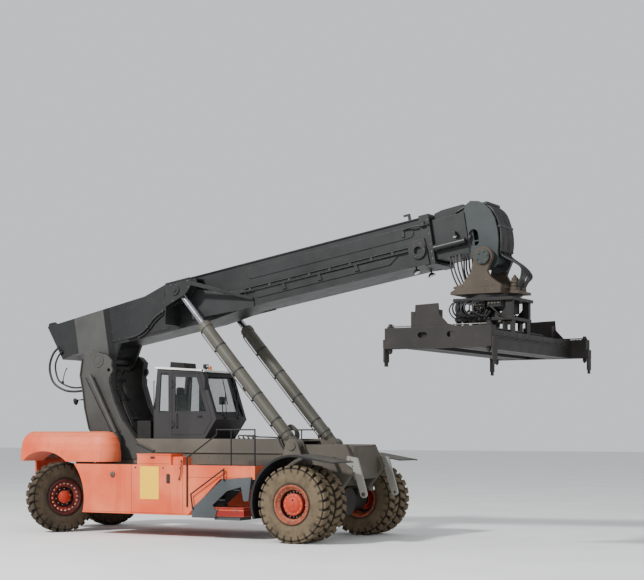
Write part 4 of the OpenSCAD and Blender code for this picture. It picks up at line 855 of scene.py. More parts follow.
# %% [markdown]
# Bolt rows follow the tower and the frame. Lamps look forward below the deck, back from the tower, and
# forward from the cab's roof. The tail has its red and amber lenses. Every round lamp is the same cup and
# domed lens in another size, so one helper turns them both.

# %% Bolts, lamps and lenses on the chassis
bolts = Builder("chassis_bolts", "chassis", "bolt_dusty")
for places, radius, height in (
        ([(2.32 + 0.19 * k, -0.790, 1.95) for k in range(6)], 0.014, 0.014),
        ([(3.35 + 0.27 * k, -0.770, 1.93) for k in range(12)], 0.012, 0.012),
        (circle((1.04, -0.803, 4.38), OUT, 0.155, 8), 0.012, 0.012),
        ([(x, -1.125, z) for x, z in ((6.72, 1.75), (7.28, 1.75), (6.70, 2.0))], 0.016, 0.016),
        ([(x, -0.830, z) for x, z in ((8.40, 1.9), (8.46, 1.75), (8.52, 1.6))], 0.013, 0.012)):
    bolts.bolts(places, OUT, radius, height)
bolts.turned((8.745, -0.829, 1.105), OUT, [(0.05, 0.0), (0.05, 0.006), (0.03, 0.01)], 20)

housings = Builder("lamp_housings", "chassis", "guard_black")
lenses = Builder("lamp_lenses", "chassis", "lamp_glass")
FORWARD = Vector((1.0, 0.0, 0.0))


def lamp(case, glass, place, way, radius):
    """A round lamp: a cup, a rim, and a domed lens."""
    place, way = Vector(place), Vector(way).normalized()
    case.turned(place, way, [(radius * 0.5, -radius * 0.7), (radius * 0.95, -radius * 0.2),
                             (radius * 1.08, 0.0), (radius * 1.08, 0.012), (radius * 0.95, 0.014)], 24)
    glass.turned(place + way * 0.008, way, [(radius * 0.93, 0.0), (radius * 0.8, 0.012),
                                            (radius * 0.4, 0.022), (0.002, 0.025)], 24)


for z in (1.18, 1.39):
    lamp(housings, lenses, (8.115, -0.89, z), FORWARD, 0.052)
lamp(housings, lenses, (0.40, -0.90, 3.33), (-1.0, -0.1, -0.25), 0.085)
housings.rod((0.52, -0.80, 3.38), (0.40, -0.90, 3.36), 0.014)
housings.box((0.50, -0.80, 3.36), (0.62, -0.778, 3.40), 0.004)
housings.mirrored()
lenses.mirrored()
for y in (-0.463, -0.397):
    lamp(housings, lenses, (4.162, y, 4.172), FORWARD, 0.03)

tail = Builder("tail_lamps", "chassis", "lamp_red")
amber = Builder("turn_lamps", "chassis", "lamp_amber")
backs = Builder("tail_lamp_cases", "chassis", "seal_black")
backs.box((-1.156, -1.02, 2.076), (-1.120, -0.66, 2.146), 0.006)
tail.box((-1.1595, -1.0, 2.083), (-1.150, -0.85, 2.139), 0.005)
amber.box((-1.1595, -0.83, 2.083), (-1.150, -0.68, 2.139), 0.005)
side_box(amber, 5.43, 1.62, 5.53, 1.67, 0.012)
finish_all(bolts, mirror=True)
finish_all(housings, lenses)
finish_all(tail, amber, backs, mirror=True)
print("chassis bolted and lit")

# %% [markdown]
# The hoses that feed the boom leave the tower's rear edge, hang in a loop below the boom's tail, and go up
# into it. They are baked into place and ride on no body.
# Inside the tower a bundle of hoses climbs from the pump to the pivot, and more of them lie on the deck.

# %% Hoses of the tower
TAIL_ROUTES = (
    (-0.60, 0.030, ((-0.40, 4.76), (-0.57, 4.62), (-0.68, 4.38), (-0.70, 4.12), (-0.55, 3.83), (-0.25, 3.65),
                    (0.10, 3.60), (0.50, 3.63))),
    (-0.54, 0.024, ((-0.34, 4.66), (-0.46, 4.54), (-0.55, 4.34), (-0.55, 4.12), (-0.43, 3.89), (-0.20, 3.76),
                    (0.10, 3.70), (0.48, 3.72))),
    (0.56, 0.024, ((-0.34, 4.64), (-0.45, 4.52), (-0.52, 4.34), (-0.50, 4.14), (-0.38, 3.93), (-0.16, 3.80),
                   (0.12, 3.74), (0.46, 3.78))))
for n, (y, radius, route) in enumerate(TAIL_ROUTES):
    loop = Builder("tail_hose_%d" % (n + 1), "boom", "hose_black", frame=chassis_frame,
                   bend=("chassis", on_chassis(-0.5, y, 4.4), on_chassis(0.3, y, 3.7)))
    loop.hose([(x, y + 0.02 * math.sin(3 * i), z) for i, (x, z) in enumerate(route)], radius)
    loop.done()

inside = Builder("tower_hoses", "chassis", "hose_black")
rng = random.Random(5)
for k in range(9):
    y = -0.34 + 0.085 * k
    x = 1.05 + 0.05 * rng.uniform(-1, 1)
    inside.hose([(1.65 + x * 0.1, y, 2.42), (1.55, y, 2.75), (1.22 + 0.06 * math.sin(k), y + 0.02, 3.2),
                 (0.98 + 0.05 * math.cos(k), y - 0.02, 3.65), (0.98, y, 4.0),
                 (1.02 + 0.06 * math.sin(2 * k), y, 4.16)], rng.choice((0.022, 0.026, 0.031)))
for z, x in ((2.9, 1.48), (3.4, 1.12), (3.9, 0.99)):
    inside.box((x - 0.06, -0.40, z - 0.03), (x + 0.06, 0.40, z + 0.03), 0.006)

drape = Builder("deck_hoses", "chassis", "hose_dusty")
for k in range(4):
    y = -0.60 + 0.05 * k
    drape.hose([(6.35, y, 2.40), (6.55, y - 0.02, 2.62 + 0.03 * k), (6.78, y - 0.05, 2.60),
                (6.86, y - 0.10, 2.42), (6.86, -0.775, 2.20)], 0.019)
    drape.hose([(5.1 + 0.1 * k, y + 0.2, 2.36), (5.1 + 0.1 * k, y + 0.16, 2.46), (5.6, y + 0.1, 2.43),
                (6.0, y + 0.05, 2.42), (6.3, y, 2.41)], 0.017)
drape.hose([(4.22, -1.66, 1.86), (4.27, -1.735, 1.74), (4.25, -1.735, 1.55), (4.20, -1.725, 1.40)], 0.012)
finish_all(inside, drape)
print("tail hoses:", len(TAIL_ROUTES))

# %% [markdown]
# The cab's doors get glass, rubber seals round it, a latch and a pull handle. They swing, so each door's
# pieces ride on the door. The fixed side pane has its seal and a grab rail too.

# %% Cab doors and seals
CAB_SIDE = -0.70
DOOR_PANE = [(0.64, 0.66), (1.59, 0.66), (1.32, 1.54), (0.64, 1.56)]
SIDE_PANE = [(0.16, 0.65), (0.46, 0.65), (0.46, 1.65), (0.22, 1.66)]


def by_cab(*points):
    """Places beside the cab: along, how far out of its side, and up."""
    return [(x, CAB_SIDE - out, z) for x, out, z in points]


def frame_round(builder, outline, y, width, depth):
    """A flat band along the inside of an outline."""
    middle = Vector((sum(p[0] for p in outline), sum(p[1] for p in outline))) / len(outline)
    rings = []
    for p in outline + outline[:1]:
        a = Vector(p)
        b = a + (middle - a).normalized() * width
        rings.append([(a.x, y, a.y), (b.x, y, b.y), (b.x, y + depth, b.y), (a.x, y + depth, a.y)])
    builder.loft(rings, close_ends=False)


for side in ("right", "left"):
    body = "door_%s_body" % side
    pane = Builder("door_glass_" + side, body, "cab_glass", frame=cab_frame)
    pane.plate(DOOR_PANE, CAB_SIDE + 0.014, CAB_SIDE + 0.020)
    seal = Builder("door_seal_" + side, body, "seal_black", frame=cab_frame)
    frame_round(seal, DOOR_PANE, CAB_SIDE - 0.004, 0.03, 0.03)
    for low, high, soft in (((1.33, 0.045, 0.545), (1.46, 0.02, 0.575), 0.008),
                            ((1.335, 0.03, 0.55), (1.355, 0.0, 0.57), 0.004),
                            ((1.435, 0.03, 0.55), (1.455, 0.0, 0.57), 0.004)):
        seal.box(*by_cab(low, high), soft)
    seal.hose(by_cab((0.72, 0.001, 0.60), (0.72, 0.045, 0.58), (0.72, 0.045, 0.30), (0.72, 0.001, 0.28)),
              0.011, ends=False)
    finish_all(pane, seal, flip=side == "left")

trim = Builder("cab_seals", "chassis", "seal_black", frame=cab_frame)
frame_round(trim, SIDE_PANE, CAB_SIDE - 0.004, 0.026, 0.03)
trim.rod(*by_cab((0.03, 0.03, 0.75), (0.03, 0.03, 1.45)), 0.012)
for z in (0.77, 1.43):
    trim.rod(*by_cab((0.03, 0.03, z), (0.03, -0.002, z)), 0.01)
print("doors glazed")

# %% [markdown]
# Outside, the roof has a pale drip edge, and mirrors stand out on stalks. The roof falls towards the
# front, so a formula gives its height and the strips follow it, as they would if the roof were changed.

# %% Cab roof and mirrors
trim.hose(by_cab((1.50, -0.04, 1.66), (1.62, 0.06, 1.62), (1.70, 0.16, 1.52)), 0.011, ends=False)
trim.box(*by_cab((1.69, 0.28, 1.20), (1.73, 0.10, 1.53)), 0.014)
mirror_face = Builder("mirror_faces", "chassis", "rod_chrome", frame=cab_frame)
mirror_face.box(*by_cab((1.686, 0.265, 1.22), (1.692, 0.115, 1.51)), 0.002)
finish_all(trim, mirror_face, mirror=True)


def roof_height(x):
    return 1.79 - 0.09 * (x - 0.12) / 1.35


rear_h, front_h = roof_height(0.06), roof_height(1.52)
EAVES = 0.035
roof = Builder("roof_edge", "chassis", "roof_trim", "cab_grey", frame=cab_frame)
for y0, y1 in ((CAB_SIDE - EAVES, CAB_SIDE + 0.02), (-CAB_SIDE - 0.02, -CAB_SIDE + EAVES)):
    roof.plate([(0.06, rear_h - 0.035), (1.52, front_h - 0.035), (1.53, front_h + 0.012),
                (0.06, rear_h + 0.012)], y0, y1)
roof.plate([(1.475, roof_height(1.47) - 0.04), (1.55, front_h - 0.05), (1.56, front_h - 0.005),
            (1.475, roof_height(1.47) + 0.012)], CAB_SIDE - EAVES, -CAB_SIDE + EAVES)
roof.done()
print("roof edged")

# %% [markdown]
# The front pane slopes back. It has two wipers and a seal, which are placed by two directions: up the
# slope, and out of it. Inside stand the steering column with its wheel, two arm consoles with their
# levers, the headrest and a small blank screen, which all show through the glass.

# %% Cab front and inside
fittings = Builder("cab_fittings", "chassis", "seal_black", frame=cab_frame)
slope = Vector((-0.41, 0.0, 1.22)).normalized()
outwards = Vector((slope.z, 0.0, -slope.x))
sill = Vector((1.88, 0.0, 0.48))
WIPER_LEAN = Vector((0.0, 0.33, 0.0))
for y in (-0.25, 0.30):
    foot = sill + slope * 0.02 + outwards * 0.02 + Vector((0.0, y, 0.0))
    tip = foot + slope * 0.72 + WIPER_LEAN * 0.8 + outwards * 0.016
    fittings.rod(foot, tip, 0.009)
    fittings.rod(tip - slope * 0.36 - WIPER_LEAN * 0.2, tip + slope * 0.30 + WIPER_LEAN * 0.12, 0.011)
    fittings.box(foot - Vector((0.03, 0.03, 0.02)), foot + Vector((0.02, 0.03, 0.03)), 0.008)
SEAL_SECTION = ((-0.02, -0.012), (0.02, -0.012), (0.02, 0.006), (-0.02, 0.006))
ends_y, ends_up = (-0.61, 0.61), (0.06, 1.14)
for y in ends_y:
    fittings.loft([[sill + slope * w + outwards * o + Vector((0, y + d, 0)) for d, o in SEAL_SECTION]
                   for w in ends_up])
for w in ends_up:
    fittings.loft([[sill + slope * (w + d) + outwards * o + Vector((0, y, 0)) for d, o in SEAL_SECTION]
                   for y in ends_y])
fittings.hose([(1.32, 0.0, 0.30), (1.25, 0.0, 0.55), (1.16, 0.0, 0.70)], 0.035)
hand_wheel = (1.14, 0.0, 0.74), (-0.45, 0.0, 0.89)
hand_rim = circle(*hand_wheel, 0.19, 16)
fittings.hose(hand_rim + hand_rim[:1], 0.014, ends=False, samples=3)
for spoke in circle(*hand_wheel, 0.185, 3, 0.5):
    fittings.rod(hand_wheel[0], spoke, 0.010)
for y in (-0.36, 0.36):
    fittings.box((0.42, y - 0.07, 0.62), (0.84, y + 0.07, 0.70), 0.02)
    fittings.rod((0.78, y, 0.70), (0.79, y, 0.82), 0.016)
    fittings.turned((0.79, y, 0.81), ALONG_Z, [(0.02, 0.0), (0.03, 0.03), (0.026, 0.07), (0.008, 0.085)], 16)
fittings.box((1.30, 0.30, 0.86), (1.33, 0.56, 1.06), 0.01)
fittings.rod((1.34, 0.43, 0.60), (1.32, 0.43, 0.88), 0.012)
fittings.box((0.28, -0.14, 1.10), (0.38, 0.14, 1.30), 0.03)
fittings.done()
print("cab fitted out")

# %% [markdown]
# An amber beacon stands on the roof's left half, on a black foot. Both are turned profiles: the lens
# narrows to a flat crown, and the foot has a bevelled rim that reaches a little into the sloping roof.

# %% Beacon
BEACON_X, BEACON_Y = 0.95, 0.42
beacon = Builder("roof_beacon", "chassis", "lamp_amber", frame=cab_frame)
beacon.turned((BEACON_X, BEACON_Y, roof_height(BEACON_X) + 0.02), ALONG_Z,
              [(0.05, 0.0), (0.05, 0.07), (0.03, 0.1), (0.01, 0.104)], 24)
beacon_base = Builder("beacon_base", "chassis", "seal_black", frame=cab_frame)
beacon_base.turned((BEACON_X, BEACON_Y, roof_height(BEACON_X) - 0.002), ALONG_Z,
                   [(0.06, 0.0), (0.06, 0.018), (0.052, 0.024)], 24)
finish_all(beacon, beacon_base)
print("beacon stands", round(roof_height(BEACON_X), 3), "m above the deck")

# %% [markdown]
# Along each side of the boom run three hard pipes under clamps. A thick hose comes back from the bracket
# towards the pivot, with a thinner one beside it. The collar, the brackets and the tail plates are bolted.
# Both sides are alike, so places are written for the right one and the pieces are mirrored.

# %% Boom sides
BOOM_SIDE = -0.50


def beside(*points):
    """Places beside the boom: along, how far out of its side, and up."""
    return [(s, BOOM_SIDE - out, t) for s, out, t in points]


pipes = Builder("boom_pipes", "boom", "hose_black")
hoses = Builder("boom_hoses", "boom", "hose_black")
clamps = Builder("boom_clamps", "boom", "seal_black")
rivets = Builder("boom_bolts", "boom", "bolt_dusty")
for t in (0.875, 0.893, 0.911):
    pipes.rod(*beside((4.50, 0.032, t), (9.26, 0.032, t)), 0.0075, 8)
hoses.hose(beside((3.30, 0.03, 0.95), (2.70, 0.07, 0.97), (2.32, 0.075, 0.965), (2.05, 0.07, 0.89),
                  (1.74, 0.07, 0.76), (1.52, 0.065, 0.60), (1.32, 0.06, 0.49), (1.10, 0.045, 0.44),
                  (0.86, 0.03, 0.43)), 0.036, 12)
hoses.hose(beside((2.36, 0.035, 0.90), (2.02, 0.04, 0.82), (1.74, 0.04, 0.68), (1.53, 0.04, 0.52),
                  (1.36, 0.035, 0.43), (1.16, 0.03, 0.38)), 0.022)
for k in range(3):
    hoses.hose(beside((4.50, 0.032, 0.875 + 0.018 * k), (4.28, 0.05, 0.86 + 0.03 * k),
                      (4.02, 0.055, 0.93 + 0.02 * k), (3.62, 0.10, 1.0 + 0.02 * k),
                      (3.36, 0.05, 1.02 + 0.02 * k)), 0.014)
hoses.hose(beside((8.90, 0.03, 1.36), (9.10, 0.075, 1.375), (9.30, 0.088, 1.37), (9.56, 0.07, 1.35)), 0.020)
for k in range(9):
    clamps.box(*beside((4.62 + 0.56 * k, 0.056, 0.862), (4.69 + 0.56 * k, 0.002, 0.925)), 0.006)
for s, t in ((2.05, 0.89), (1.52, 0.60)):
    clamps.box(*beside((s - 0.035, 0.112, t - 0.05), (s + 0.035, 0.012, t + 0.05)), 0.01)
clamps.box(*beside((9.38, 0.12, 1.32), (9.50, 0.03, 1.43)), 0.014)
clamps.box(*beside((8.86, 0.045, 1.20), (8.94, 0.015, 1.40)), 0.01)
TAIL_BOLTS = ((0.36, 0.70), (0.36, 0.94), (2.07, 0.62), (2.07, 1.10), (2.07, 1.27), (0.66, 1.13), (1.1, 1.18),
              (1.6, 1.24))
for places, radius, height in (
        (beside(*((4.655 + 0.56 * k, 0.055, 0.893) for k in range(9))), 0.011, 0.01),
        (beside(*((0.36 + 0.2 * k, 0.013, 0.46) for k in range(9))), 0.010, 0.010),
        (beside(*((s, 0.013, t) for s, t in TAIL_BOLTS)), 0.010, 0.010),
        (beside(*((9.555, 0.039, t) for t in (0.56, 0.72, 0.88, 1.14, 1.30, 1.46))), 0.014, 0.014),
        (circle((9.25, BOOM_SIDE - 0.124, 0.80), OUT, 0.145, 6), 0.011, 0.010),
        ([(s, -1.107, t) for s, t in ((2.75, 0.96), (2.75, 1.36), (3.25, 1.36), (3.25, 1.20))], 0.014, 0.014),
        (beside(*((4.9 + 0.32 * k, 0.044, 0.484) for k in range(14))), 0.008, 0.007)):
    rivets.bolts(places, OUT, radius, height)
finish_all(pipes, hoses, clamps, rivets, mirror=True)
print("boom sides dressed")

# %% [markdown]
# Five more pipes lie in cradles on top of the boom, and two work lamps hang under its collar. They cross
# the middle or stand in pairs, so nothing here is mirrored.

# %% Boom top and lamps
top = Builder("boom_top_fittings", "boom", "seal_black", "boom_charcoal")
for k in range(10):
    s = 2.7 + 0.68 * k
    top.box((s, -0.16, 1.553), (s + 0.06, 0.16, 1.62), 0.006)
for y in (-0.12, -0.06, 0.0, 0.06, 0.12):
    top.rod((2.6, y, 1.585), (9.5, y, 1.585), 0.017, 10)
top.box((-1.66, -0.30, 1.245), (-1.30, 0.30, 1.275), 0.008)
lamp_case = Builder("boom_lamp_cases", "boom", "guard_black")
lamp_lens = Builder("boom_lamp_lenses", "boom", "lamp_glass")
for y in (-0.40, 0.40):
    lamp(lamp_case, lamp_lens, (9.05, y, 0.36), (0.35, 0.0, -1.0), 0.085)
    lamp_case.rod((9.05, y, 0.42), (9.05, y, 0.475), 0.018)
finish_all(top, lamp_case, lamp_lens)
print("boom lamps hung")

# %% [markdown]
# Each lift cylinder carries two steel pipes from its foot up to the gland, held by straps, and two loops of
# hose at its foot. The rod is scraped clean by a ring at the gland. The pipes are made as hoses with a
# steel finish, because they need the same smooth bends, and the straps are rings turned round the barrel.

# %% Ram fittings
RAM_Y, PIPE_W = -0.96, 0.166
ram_pipes = Builder("ram_pipes", "lift_barrel_pair", "pipe_steel")
ram_straps = Builder("ram_straps", "lift_barrel_pair", "seal_black", "barrel_grey")
foot_hoses = Builder("ram_hoses", "lift_barrel_pair", "hose_black")
for y in (RAM_Y + 0.06, RAM_Y - 0.06):
    ram_pipes.hose([(0.42, y, PIPE_W), (1.2, y, PIPE_W + 0.014), (2.6, y, PIPE_W + 0.014),
                    (3.66, y, PIPE_W + 0.012), (3.80, y, PIPE_W - 0.012)], 0.014)
    foot_hoses.hose([(0.44, y, 0.160), (0.30, y, 0.23), (0.12, y, 0.25), (-0.02, y + 0.02, 0.21),
                     (-0.03, y + 0.04, 0.12)], 0.020)
for r in (0.75, 1.55, 2.35, 3.15):
    ram_straps.turned((r, RAM_Y, 0.0), FORWARD,
                      [(0.1495, 0.0), (0.1545, 0.002), (0.1545, 0.043), (0.1495, 0.045)], 40)
    ram_straps.box((r, RAM_Y - 0.085, 0.146), (r + 0.045, RAM_Y + 0.085, 0.176), 0.006)
ram_straps.turned((3.925, RAM_Y, 0.0), FORWARD,
                  [(0.112, 0.0), (0.118, 0.004), (0.112, 0.03), (0.088, 0.036)], 36)
finish_all(ram_pipes, ram_straps, foot_hoses, mirror=True)
print("cylinders piped")

# %% [markdown]
# The head is crowded with hoses. A sheaf of them comes out of the inner boom, follows the head's curved
# front down, and reaches the turning motors. Another group hangs straight down behind the hanger. Both
# cross the head pin, and are baked into place and ride on no body. The sheaf follows one curve, and a
# seeded draw gives every hose its own sag and thickness, so that no two of them lie quite alike.

# %% Hoses at the head
PIN_Z = joints["head_tilt"]["pos_m"][2] - turn_axis.z
FACE = 10.55
pin_bolts = Builder("head_pin_plates", "hanger_body", "bolt_dusty")
for places, radius, height in (
        (circle((0.0, -0.6985, PIN_Z), OUT, 0.128, 6, 0.3), 0.012, 0.010),
        ([(x, -0.614, z) for x, z in ((-0.50, 0.19), (0.22, 0.20), (-0.30, 0.28), (0.08, 0.30))],
         0.015, 0.014),
        ([(x, -0.649, 0.09) for x in (-0.62, -0.42, 0.02, 0.24, 0.40)], 0.013, 0.012)):
    pin_bolts.bolts(places, OUT, radius, height)
finish_all(pin_bolts, mirror=True)

head = Builder("head_hoses", "boom_inner", "hose_black")
# Forward of the boom's end face, and up: over the head's top and down its front
FRONT_CURVE = [(-0.35, 1.50), (-0.10, 1.57), (0.12, 1.585), (0.32, 1.545), (0.47, 1.43), (0.57, 1.28),
               (0.628, 1.06), (0.645, 0.82), (0.62, 0.58), (0.57, 0.40)]
rng = random.Random(11)
for k in range(11):
    y = -0.34 + 0.068 * k
    swell = rng.uniform(0.0, 0.03)
    head.hose([(FACE + s, y + 0.012 * math.sin(2.2 * i + k), t + (swell if i > 3 else 0.0) * 0.5)
               for i, (s, t) in enumerate(FRONT_CURVE)], rng.choice((0.021, 0.025, 0.029)))
for s, t in ((0.40, 1.53), (0.63, 0.95)):
    head.box((FACE + s - 0.05, -0.38, t - 0.03), (FACE + s + 0.05, 0.38, t + 0.04), 0.012)
for k in range(7):
    y = -0.36 + 0.03 * k
    head.hose([(FACE - 0.22, y, 1.44), (FACE - 0.16, y - 0.02, 1.20 - 0.03 * k),
               (FACE - 0.17 + 0.02 * k, -0.40, 0.90), (FACE - 0.12, -0.41, 0.62 + 0.02 * k),
               (FACE - 0.10, y, 0.44)], 0.018)
head.done()


def head_hose(name, finish, start, end, points, radius):
    """A hose between the inner boom and the hanger. Its places are the machine's own."""
    piece = Builder(name, "boom_inner", finish, frame=Matrix.Identity(4), bend=("hanger_body", start, end))
    piece.hose(points, radius)
    piece.done()


for k in range(6):
    y = -0.31 + 0.124 * k
    head_hose("motor_hose_%d" % (k + 1), "hose_black",
              on_boom(FACE + 0.56, 0.0, 0.42), at_head(0.66, 0.0, 0.30),
              [on_boom(FACE + 0.585, y, 0.46), on_boom(FACE + 0.56, y, 0.32),
               at_head(0.76 - 0.02 * k, y, 0.62), at_head(0.80, y + 0.02, 0.42),
               at_head(0.72, y * 0.9, 0.22 + 0.03 * (k % 3)), at_head(0.64, y * 0.8, 0.12)],
              0.021 if k % 2 else 0.026)
# Forward of the turning joint, and up from it
HANGING = [((-0.82, 1.18), (-0.87, 0.95), (-0.85, 0.60), (-0.72, 0.26), (-0.60, 0.135)),
           ((-0.76, 1.20), (-0.80, 0.95), (-0.78, 0.62), (-0.66, 0.30), (-0.54, 0.135)),
           ((-0.70, 1.22), (-0.72, 0.96), (-0.70, 0.64), (-0.60, 0.32), (-0.48, 0.135)),
           ((-0.62, 1.24), (-0.63, 0.97), (-0.62, 0.66), (-0.54, 0.34), (-0.42, 0.135))]
for k, route in enumerate(HANGING):
    for m, y in enumerate((-0.40 + 0.015 * k, 0.34 - 0.02 * k)):
        head_hose("hanging_hose_%d" % (2 * k + m + 1), "hose_dusty" if k % 2 else "hose_black",
                  at_head(-0.8, y, 1.15), at_head(-0.6, y, 0.25),
                  [at_head(x, y + 0.02 * math.sin(2 * i + k), z) for i, (x, z) in enumerate(route)], 0.019)

head_trim = Builder("head_trim", "boom_inner", "bolt_dusty")
head_trim.bolts([(FACE + s, -0.419, t) for s, t in
                 ((-0.06, 1.44), (0.18, 1.56), (0.40, 1.38), (0.51, 1.12), (0.53, 0.88), (-0.09, 0.62))],
                OUT, 0.013, 0.012)
finish_all(head_trim, mirror=True)
inner_lamps = Builder("inner_lamp_lenses", "boom_inner", "lamp_glass")
inner_cases = Builder("inner_lamp_cases", "boom_inner", "pale_trim", "head_grey")
for y in (-0.53, 0.53):
    lamp(inner_cases, inner_lamps, (10.16, y, 0.93), (0.2, 0.0, -1.0), 0.045)
finish_all(inner_lamps, inner_cases)
print("head dressed")

# %% [markdown]
# The turning head carries two motors with bolted collars, a ring of bolts on the base plate, and valves
# with their round caps. Loops of hose crowd the space between the sled and the frame. Most of these start
# near the axis and end where a seeded draw sends them: a careless tangle that comes out the same each time.

# %% Turning head
motors = Builder("motor_fittings", "hanger_body", "bolt_dusty", "barrel_grey")
for y in (-0.20, 0.20):
    for z in (0.175, 0.255):
        motors.turned((0.60, y, z), ALONG_Z,
                      [(0.080, 0.0), (0.098, 0.004), (0.098, 0.018), (0.080, 0.022)], 28)
    motors.bolts(circle((0.60, y, 0.149), ALONG_Z, 0.096, 8), ALONG_Z, 0.009, 0.009)
    motors.rod((0.60, y, 0.39), (0.60, y, 0.43), 0.022)
plate_bolts = Builder("hanger_bolts", "hanger_body", "bolt_dusty")
plate_bolts.bolts(circle((-0.05, 0.0, 0.139), ALONG_Z, 0.38, 20), ALONG_Z, 0.013, 0.014)

swivel = Builder("swivel_hoses", "rotator_body", "hose_black")
rng = random.Random(3)
for k in range(16):
    a = rng.uniform(0, math.tau)
    x0, y0 = 0.16 * math.cos(a), 0.16 * math.sin(a)
    x1, y1 = 0.50 * math.cos(a + 0.5), 0.46 * math.sin(a + 0.5)
    x2, y2 = rng.choice((-0.52, 0.52, 0.2, -0.2)), rng.choice((-0.50, 0.50, -0.44))
    swivel.hose([(x0, y0, -0.50), (0.6 * x1, 0.6 * y1, -0.56 + 0.05 * (k % 3)),
                 (x1, y1, -0.45 + 0.06 * (k % 4)),
                 ((x1 + x2) / 2, (y1 + y2) / 2, -0.40 - 0.05 * (k % 3)), (x2, y2, -0.60)],
                rng.choice((0.014, 0.018, 0.022)))
swivel.hose([(-0.45, -0.52, -0.20), (-0.58, -0.60, -0.30), (-0.50, -0.63, -0.46), (-0.30, -0.60, -0.52),
             (-0.12, -0.61, -0.40), (0.02, -0.58, -0.26)], 0.022)
swivel.hose([(0.10, -0.56, -0.24), (0.26, -0.63, -0.34), (0.40, -0.62, -0.48), (0.54, -0.58, -0.56)], 0.02)
for k in range(9):
    x, y, high = -0.70 + 0.075 * k, -0.66 - 0.03 * (k % 3), -0.17 + 0.02 * (k % 2)
    swivel.hose([(x + 0.10, -0.60, high), (x, y - 0.05, high - 0.04),
                 (x - 0.05 + 0.02 * (k % 4), y - 0.09, high - 0.20),
                 (x + 0.07, y - 0.05, -0.54 + 0.03 * (k % 3)), (x + 0.22, y + 0.02, -0.50),
                 (x + 0.26, -0.57, -0.40 + 0.03 * (k % 2))], 0.016 + 0.004 * (k % 3))

valves = Builder("valve_fittings", "rotator_body", "bolt_steel", "barrel_grey")
for k in range(5):
    x = -0.215 + 0.052 * k
    valves.turned((x, -0.589, -0.25), OUT, [(0.019, 0.0), (0.019, 0.02), (0.013, 0.024), (0.013, 0.045)], 12)
    valves.turned((x, -0.589, -0.31), OUT, [(0.013, 0.0), (0.013, 0.018), (0.006, 0.022)], 6)
for k in range(4):
    valves.turned((0.14 + 0.075 * k, -0.579, -0.22), OUT,
                  [(0.022, 0.0), (0.022, 0.014), (0.012, 0.02), (0.012, 0.04)], 12)
for x in (0.33, -0.33):
    for y in (-0.42, 0.10):
        valves.turned((x, y, -0.595), -OUT,
                      [(0.062, 0.0), (0.068, 0.004), (0.068, 0.022), (0.062, 0.026)], 24)
finish_all(motors, plate_bolts, swivel, valves)
print("turning head dressed")

# %% [markdown]
# The spreader's main tubes carry hard pipes under clamps, hose loops where its ends run out, and rows of
# bolts. They are placed from the frame's underside, which hangs 4.31 m above the ground, and the loops are
# one pair of routes that both ends share.

# %% Spreader pipes and bolts
FRAME_LOW = 4.31 - turn_axis.z
FRAME_TOP = FRAME_LOW + 0.42
TUBE_X = 0.845
pipes = Builder("spreader_pipes", "spreader", "hose_black", "barrel_grey")
bands = Builder("spreader_clamps", "spreader", "seal_black")
for x in (-TUBE_X, TUBE_X):
    for z in (0.25, 0.28, 0.31):
        pipes.rod((x, -2.55, FRAME_LOW + z), (x, 2.55, FRAME_LOW + z), 0.009, 8)
    inner, outer = sorted((x, x * 0.986))
    for k in range(9):
        y = -2.4 + 0.6 * k
        bands.box((inner, y, FRAME_LOW + 0.235), (outer, y + 0.05, FRAME_LOW + 0.325), 0.004)
for x in (-0.05, -0.025, 0.0, 0.025, 0.05):
    pipes.rod((x, -2.5, FRAME_TOP - 0.03), (x, 2.5, FRAME_TOP - 0.03), 0.010, 8)
loops = Builder("spreader_hoses", "spreader", "hose_black")
nuts = Builder("spreader_bolts", "spreader", "bolt_dusty")
for x in (-0.836, 0.836):
    nuts.bolts([(x, -2.2 + 0.4 * k, FRAME_TOP - 0.06) for k in range(12)], (x, 0, 0), 0.011, 0.010)
for m in (-1, 1):
    for k in range(5):
        x = -0.18 + 0.09 * k
        for radius, route in (
                (0.016, ((1.0, 0.95, -0.02), (1.3, 1.05, 0.10 + 0.01 * k), (1.2, 1.17, 0.13),
                         (1.0, 1.26, 0.07))),
                (0.015, ((1.0, 1.74, 0.04), (1.1, 1.95, 0.02 + 0.015 * k), (0.8, 2.25, -0.06),
                         (0.6, 2.6, -0.10)))):
            loops.hose([(x * spread, m * y, FRAME_TOP + z) for spread, y, z in route], radius)
    nuts.bolts([(x, m * 1.5 + y, FRAME_TOP + 0.09) for x in (-0.19, 0.19) for y in (-0.21, 0.21)],
               ALONG_Z, 0.013, 0.012)
finish_all(pipes, bands, loops, nuts)
print("spreader frame dressed")

# %% [markdown]
# Each end beam has the rod that turns its twistlocks, with a turned cap and a lever at each corner. The
# beams slide in and out on bodies of their own, so each gets its own pieces instead of a mirrored pair.

